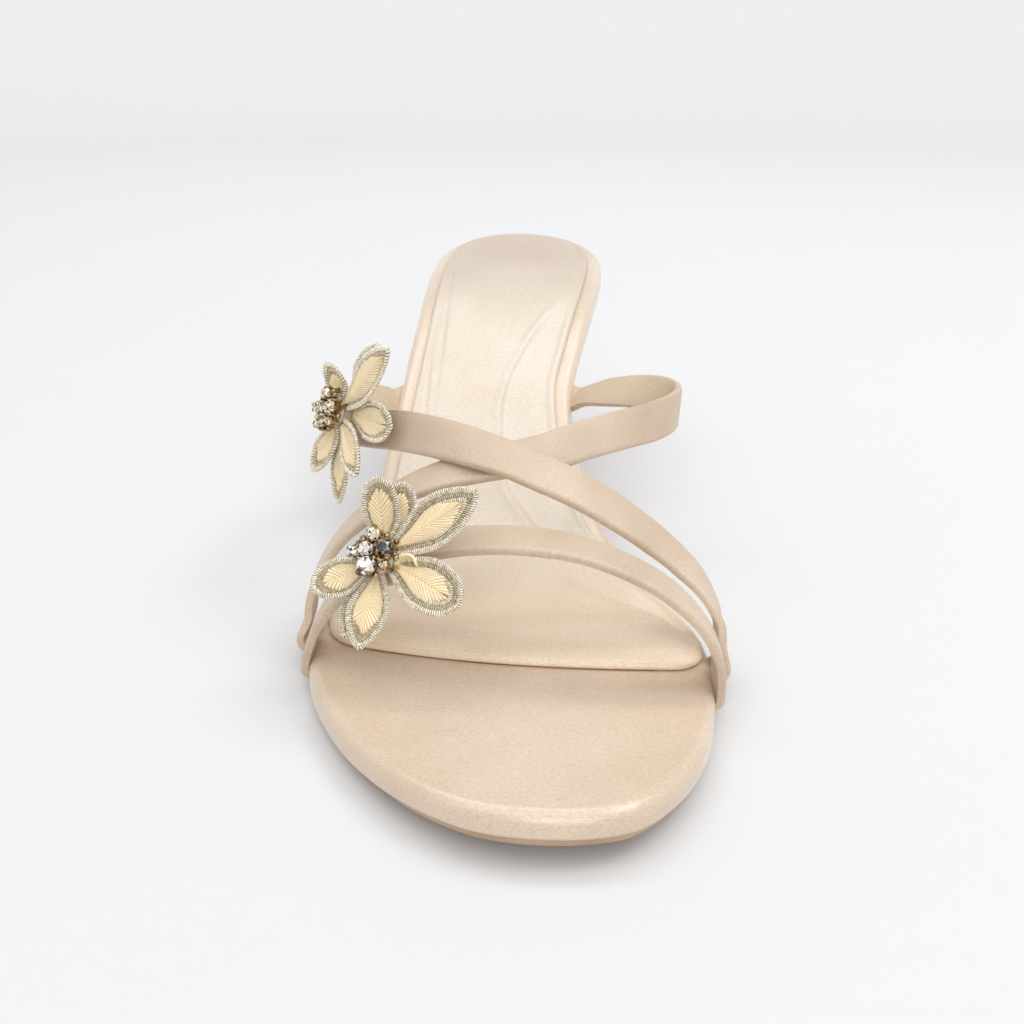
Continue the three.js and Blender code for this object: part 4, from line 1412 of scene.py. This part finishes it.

# %% [markdown]
# Backing, settings and stones
#
# The petals are sewn to a small covered button on the strap, whose profile is spun round the
# flower's axis. A setting is a flared cup on a short stem, with claws that bend over the
# stone. A stone is a cut ball with a flat table whose facets stay sharp, so that each one
# catches its own light, and each facet also carries its own tone as a painted reflection.

# %% Flower backing
def spun(profile, sides):
    """A closed solid spun from a profile of radius and height that starts and ends at 0."""
    bm = bmesh.new()
    verts = [bm.verts.new((radius, 0, height)) for radius, height in profile]
    ring = [bm.edges.new(pair) for pair in zip(verts, verts[1:])]
    bmesh.ops.spin(
        bm, geom=verts + ring, cent=(0, 0, 0), axis=(0, 0, 1), angle=2 * math.pi,
        steps=sides, use_merge=True, use_duplicate=False)
    bmesh.ops.remove_doubles(bm, verts=bm.verts, dist=weld)
    bmesh.ops.recalc_face_normals(bm, faces=bm.faces)
    return bm


button_radius = 0.0034
plate_top = 2 * spool_plate + spool_throat
for flower_name in flowers:
    outer = spool_plate + spool_throat
    bm = spun([
        (0, -spool_foot), (spool_post, -spool_foot), (spool_post, 0),
        (spool_radius - 0.0003, 0), (spool_radius, 0.0003), (spool_radius, spool_plate - 0.0003),
        (spool_radius - 0.0003, spool_plate), (spool_post, spool_plate), (spool_post, outer),
        (button_radius - 0.0003, outer), (button_radius, outer + 0.0003),
        (button_radius - 0.0003, outer + 0.0007), (0, plate_top),
    ], 40)
    bmesh.ops.transform(bm, matrix=flower_places[flower_name], verts=bm.verts)
    finish_piece(f"button_{flower_name}", bm, [footbed_satin],
                 [f"flower_{flower_name}_spool"])

# %% Curled bit beside the front flower
def curl_part():
    """A short strip of raffia cloth that curls over."""
    def place(corner):
        share = corner.x + 0.5
        turn = mix(1.15, 0.05, share) * math.pi
        radius = mix(0.0013, 0.0024, share) + corner.z * 0.0005
        return (Vector((radius * math.cos(turn), radius * math.sin(turn), corner.y * 0.003)),
                (corner.y * 0.003, share / 120))

    return shape(divided_block(30, 6, 2), place)


curl = curl_part()
curl_place = Matrix.Translation((0.0056, -0.0012, 0.0048)) @ Matrix.Rotation(-0.3, 4, "X")
bmesh.ops.transform(curl, matrix=flower_places["front"] @ curl_place, verts=curl.verts)
finish_piece("curl_front", curl, [raffia], [])

# %% Settings and stones
Stone = namedtuple("Stone", "right up size tones")
stones = [
    Stone(-0.2, -0.64, 1, "clear"),
    Stone(-0.42, 0.12, 0.82, "clear"),
    Stone(-1, -0.06, 0.62, "clear"),
    Stone(0.5, 0.3, 0.86, "dark"),
    Stone(-0.22, 0.88, 0.72, "golden"),
    Stone(0.52, -0.42, 0.5, "golden"),
]
claw_count = 5
claw_radius = 0.00034
stem_depth = 0.0016
# Each kind lists tones of painted reflection, from dark to bright, that a stone's facets pick
# from.
facet_reflection_tones = {
    "clear": [(40, 36, 32), (150, 142, 130), (214, 208, 200), (244, 242, 236), (252, 250, 246)],
    "golden": [(50, 38, 22), (150, 124, 84), (214, 196, 158), (244, 234, 206), (252, 246, 228)],
    "dark": [(6, 6, 6), (14, 14, 14), (26, 26, 26), (48, 49, 50), (150, 152, 154)],
}


def setting_part(radius):
    """A flared cup with claws, standing on the origin, and its stem below."""
    bm = spun([
        (0, -stem_depth), (0.5 * radius, -stem_depth), (0.42 * radius, -0.4 * stem_depth),
        (0.72 * radius, 0.2 * setting_height), (0.66 * radius, 0.35 * setting_height),
        (0.98 * radius, setting_height), (0.84 * radius, setting_height),
        (0.5 * radius, 0.5 * setting_height), (0, 0.45 * setting_height),
    ], 20)
    paths = []
    for i in range(claw_count):
        turn = 2 * math.pi * i / claw_count + 0.3
        paths.append([
            Vector((out * radius * math.cos(turn), out * radius * math.sin(turn), height))
            for out, height in (
                (0.72, 0.2 * setting_height), (1.0, 0.8 * setting_height),
                (1.1, setting_height + 0.15 * radius), (1.04, setting_height + 0.38 * radius),
                (0.86, setting_height + 0.55 * radius))
        ])
    add_part(bm, thread_mesh(paths, claw_radius * radius / stone_radius + 0.00006), 0)
    return bm


def stone_part(radius, chance, tones):
    """A cut stone with a flat table, facets round it, and a painted reflection tone on each facet.
    """
    bm = bmesh.new()
    bmesh.ops.create_icosphere(bm, subdivisions=2, radius=radius)
    bmesh.ops.rotate(bm, cent=(0, 0, 0), matrix=Matrix.Rotation(0.4, 3, "X"), verts=bm.verts)
    for height, normal in ((0.76, (0, 0, 1)), (-0.3, (0, 0, -1))):
        cut = bmesh.ops.bisect_plane(
            bm, geom=list(bm.verts) + list(bm.edges) + list(bm.faces), dist=weld,
            plane_co=(0, 0, height * radius), plane_no=normal, clear_outer=True)
        rim = [item for item in cut["geom_cut"] if isinstance(item, bmesh.types.BMEdge)]
        bmesh.ops.contextual_create(bm, geom=rim)
    bmesh.ops.recalc_face_normals(bm, faces=bm.faces)
    table = max(bm.faces, key=lambda face: face.calc_area() * face.normal.z)
    bmesh.ops.poke(bm, faces=[table], offset=-0.04 * radius)
    facet_reflection = bm.loops.layers.float_color.new("facet_reflection")
    for face in bm.faces:
        tone = colour(*chance.choice(tones))
        for loop in face.loops:
            loop[facet_reflection] = tone
    return bm


chance = random.Random(7)
for flower_name in flowers:
    for i, row in enumerate(stones):
        radius = stone_radius * row.size
        tilt = Matrix.Rotation(0.35 * row.up, 4, "X") @ Matrix.Rotation(-0.3 * row.right, 4, "Y")
        seat = Matrix.Translation(
            (row.right * spool_radius, row.up * spool_radius, plate_top + clearance))
        place = flower_places[flower_name] @ seat @ tilt
        cup = setting_part(radius)
        bmesh.ops.transform(cup, matrix=place, verts=cup.verts)
        finish_piece(f"setting_{flower_name}_{i + 1}", cup, [aged_gold],
                     [f"flower_{flower_name}_setting_{i + 1}"])
        tones = "golden" if flower_name == "back" else row.tones
        gem = stone_part(radius, chance, facet_reflection_tones[tones])
        raised = place @ Matrix.Translation((0, 0, setting_height + 0.3 * radius))
        bmesh.ops.transform(gem, matrix=raised, verts=gem.verts)
        finish_piece(f"stone_{flower_name}_{i + 1}", gem, [crystal],
                     [f"flower_{flower_name}_stone_{i + 1}"], 4)

# %% Beads between the stones
Bead = namedtuple("Bead", "right up size gold")
bead_rows = [
    Bead(0.1, 0.1, 1, True), Bead(0.08, 0.52, 0.9, True), Bead(-0.66, 0.52, 0.9, True),
    Bead(0.2, -0.2, 0.85, False), Bead(-0.62, -0.45, 0.9, True), Bead(0.86, -0.02, 0.7, True),
    Bead(0.28, 0.8, 0.8, True), Bead(-0.86, 0.36, 0.6, False), Bead(-0.05, -0.16, 0.8, True),
    Bead(0.2, -0.8, 0.7, True), Bead(-0.6, -0.8, 0.6, True), Bead(0.72, 0.62, 0.7, False),
    Bead(-0.3, 0.52, 0.8, False), Bead(0.5, -0.06, 0.8, True), Bead(-0.72, 0.2, 0.7, True),
]
bead_radius = 0.0009
for flower_name in flowers:
    bm = bmesh.new()
    for row in bead_rows:
        ball = bmesh.new()
        bmesh.ops.create_icosphere(ball, subdivisions=2, radius=bead_radius * row.size)
        spot = Vector((row.right * spool_radius, row.up * spool_radius,
                       plate_top + bead_radius * (0.3 + 1.2 * row.size)))
        bmesh.ops.translate(ball, vec=spot, verts=ball.verts)
        add_part(bm, ball, 0 if row.gold else 1)
    bmesh.ops.transform(bm, matrix=flower_places[flower_name], verts=bm.verts)
    finish_piece(f"beads_{flower_name}", bm, [aged_gold, amber_gold], [])

# %% [markdown]
# Studio
#
# The photograph has an almost white ground and soft light from a large source above and a
# little to the right. A round floor that curves up into a wall on all sides hides the
# horizon. A long strip overhead draws the bright line along the toe's rim, a smaller light
# from the right gives the shadows their side, and the others only lift the dark places.

# %% Floor
def studio_bowl():
    """A round floor that curves up into a wall on all sides."""
    bm = bmesh.new()
    flat, bend, wall = 1.3, 0.5, 0.6
    profile = [(0.0, 0.0), (flat, 0.0)]
    for i in range(1, 13):
        turn = i / 12 * math.pi / 2
        profile.append((flat + bend * math.sin(turn), bend * (1 - math.cos(turn))))
    profile.append((flat + bend, bend + wall))
    verts = [bm.verts.new((radius, 0, height)) for radius, height in profile]
    line = [bm.edges.new(pair) for pair in zip(verts, verts[1:])]
    bmesh.ops.spin(
        bm, geom=verts + line, cent=(0, 0, 0), axis=(0, 0, 1), angle=2 * math.pi,
        steps=96, use_merge=True, use_duplicate=False)
    bmesh.ops.remove_doubles(bm, verts=bm.verts, dist=weld)
    bmesh.ops.recalc_face_normals(bm, faces=bm.faces)
    if sum(face.normal.z for face in bm.faces) < 0:
        bmesh.ops.reverse_faces(bm, faces=bm.faces)
    mesh = bpy.data.meshes.new("studio_floor")
    bm.to_mesh(mesh)
    bm.free()
    mesh.shade_smooth()
    return bpy.data.objects.new("studio_floor", mesh)


floor = studio_bowl()
bpy.context.scene.collection.objects.link(floor)
floor_paint, floor_shader = new_material("floor_paint")
floor_shader.inputs["Base Color"].default_value = (0.715, 0.716, 0.72, 1)
floor_shader.inputs["Roughness"].default_value = 0.9
floor_shader.inputs["Specular IOR Level"].default_value = 0.1
floor.data.materials.append(floor_paint)

# %% Lights
def area_light(name, place, aim, width, depth, watts):
    light = bpy.data.objects.new(name, bpy.data.lights.new(name, "AREA"))
    bpy.context.scene.collection.objects.link(light)
    light.data.shape = "RECTANGLE"
    light.data.size, light.data.size_y = width, depth
    light.data.energy = watts
    light.location = place
    light.rotation_mode = "QUATERNION"
    light.rotation_quaternion = (Vector(aim) - Vector(place)).to_track_quat("-Z", "Y")
    return light


area_light("overhead_strip", (0.1, -0.3, 1.05), (0.1, -0.05, 0), 1.8, 0.9, 5.9)
area_light("side_key", (0.62, -0.05, 0.9), (0, 0, 0), 0.4, 0.4, 2.0)
area_light("front_fill", (0.1, -1.1, 0.6), (0, 0, 0.03), 0.8, 0.8, 5.2)
area_light("left_strip", (-0.8, -0.3, 0.6), (0, 0, 0.02), 0.3, 1.0, 0.6)
area_light("wall_wash", (0, 0.6, 1.6), (0, 1.8, 0.2), 3, 0.6, 24)

world = bpy.data.worlds.new("studio")
world.use_nodes = True
world.node_tree.nodes["Background"].inputs["Color"].default_value = (0.97, 0.98, 1, 1)
world.node_tree.nodes["Background"].inputs["Strength"].default_value = 0.36
bpy.context.scene.world = world
bpy.context.scene.view_settings.view_transform = "Standard"
print("studio ready")
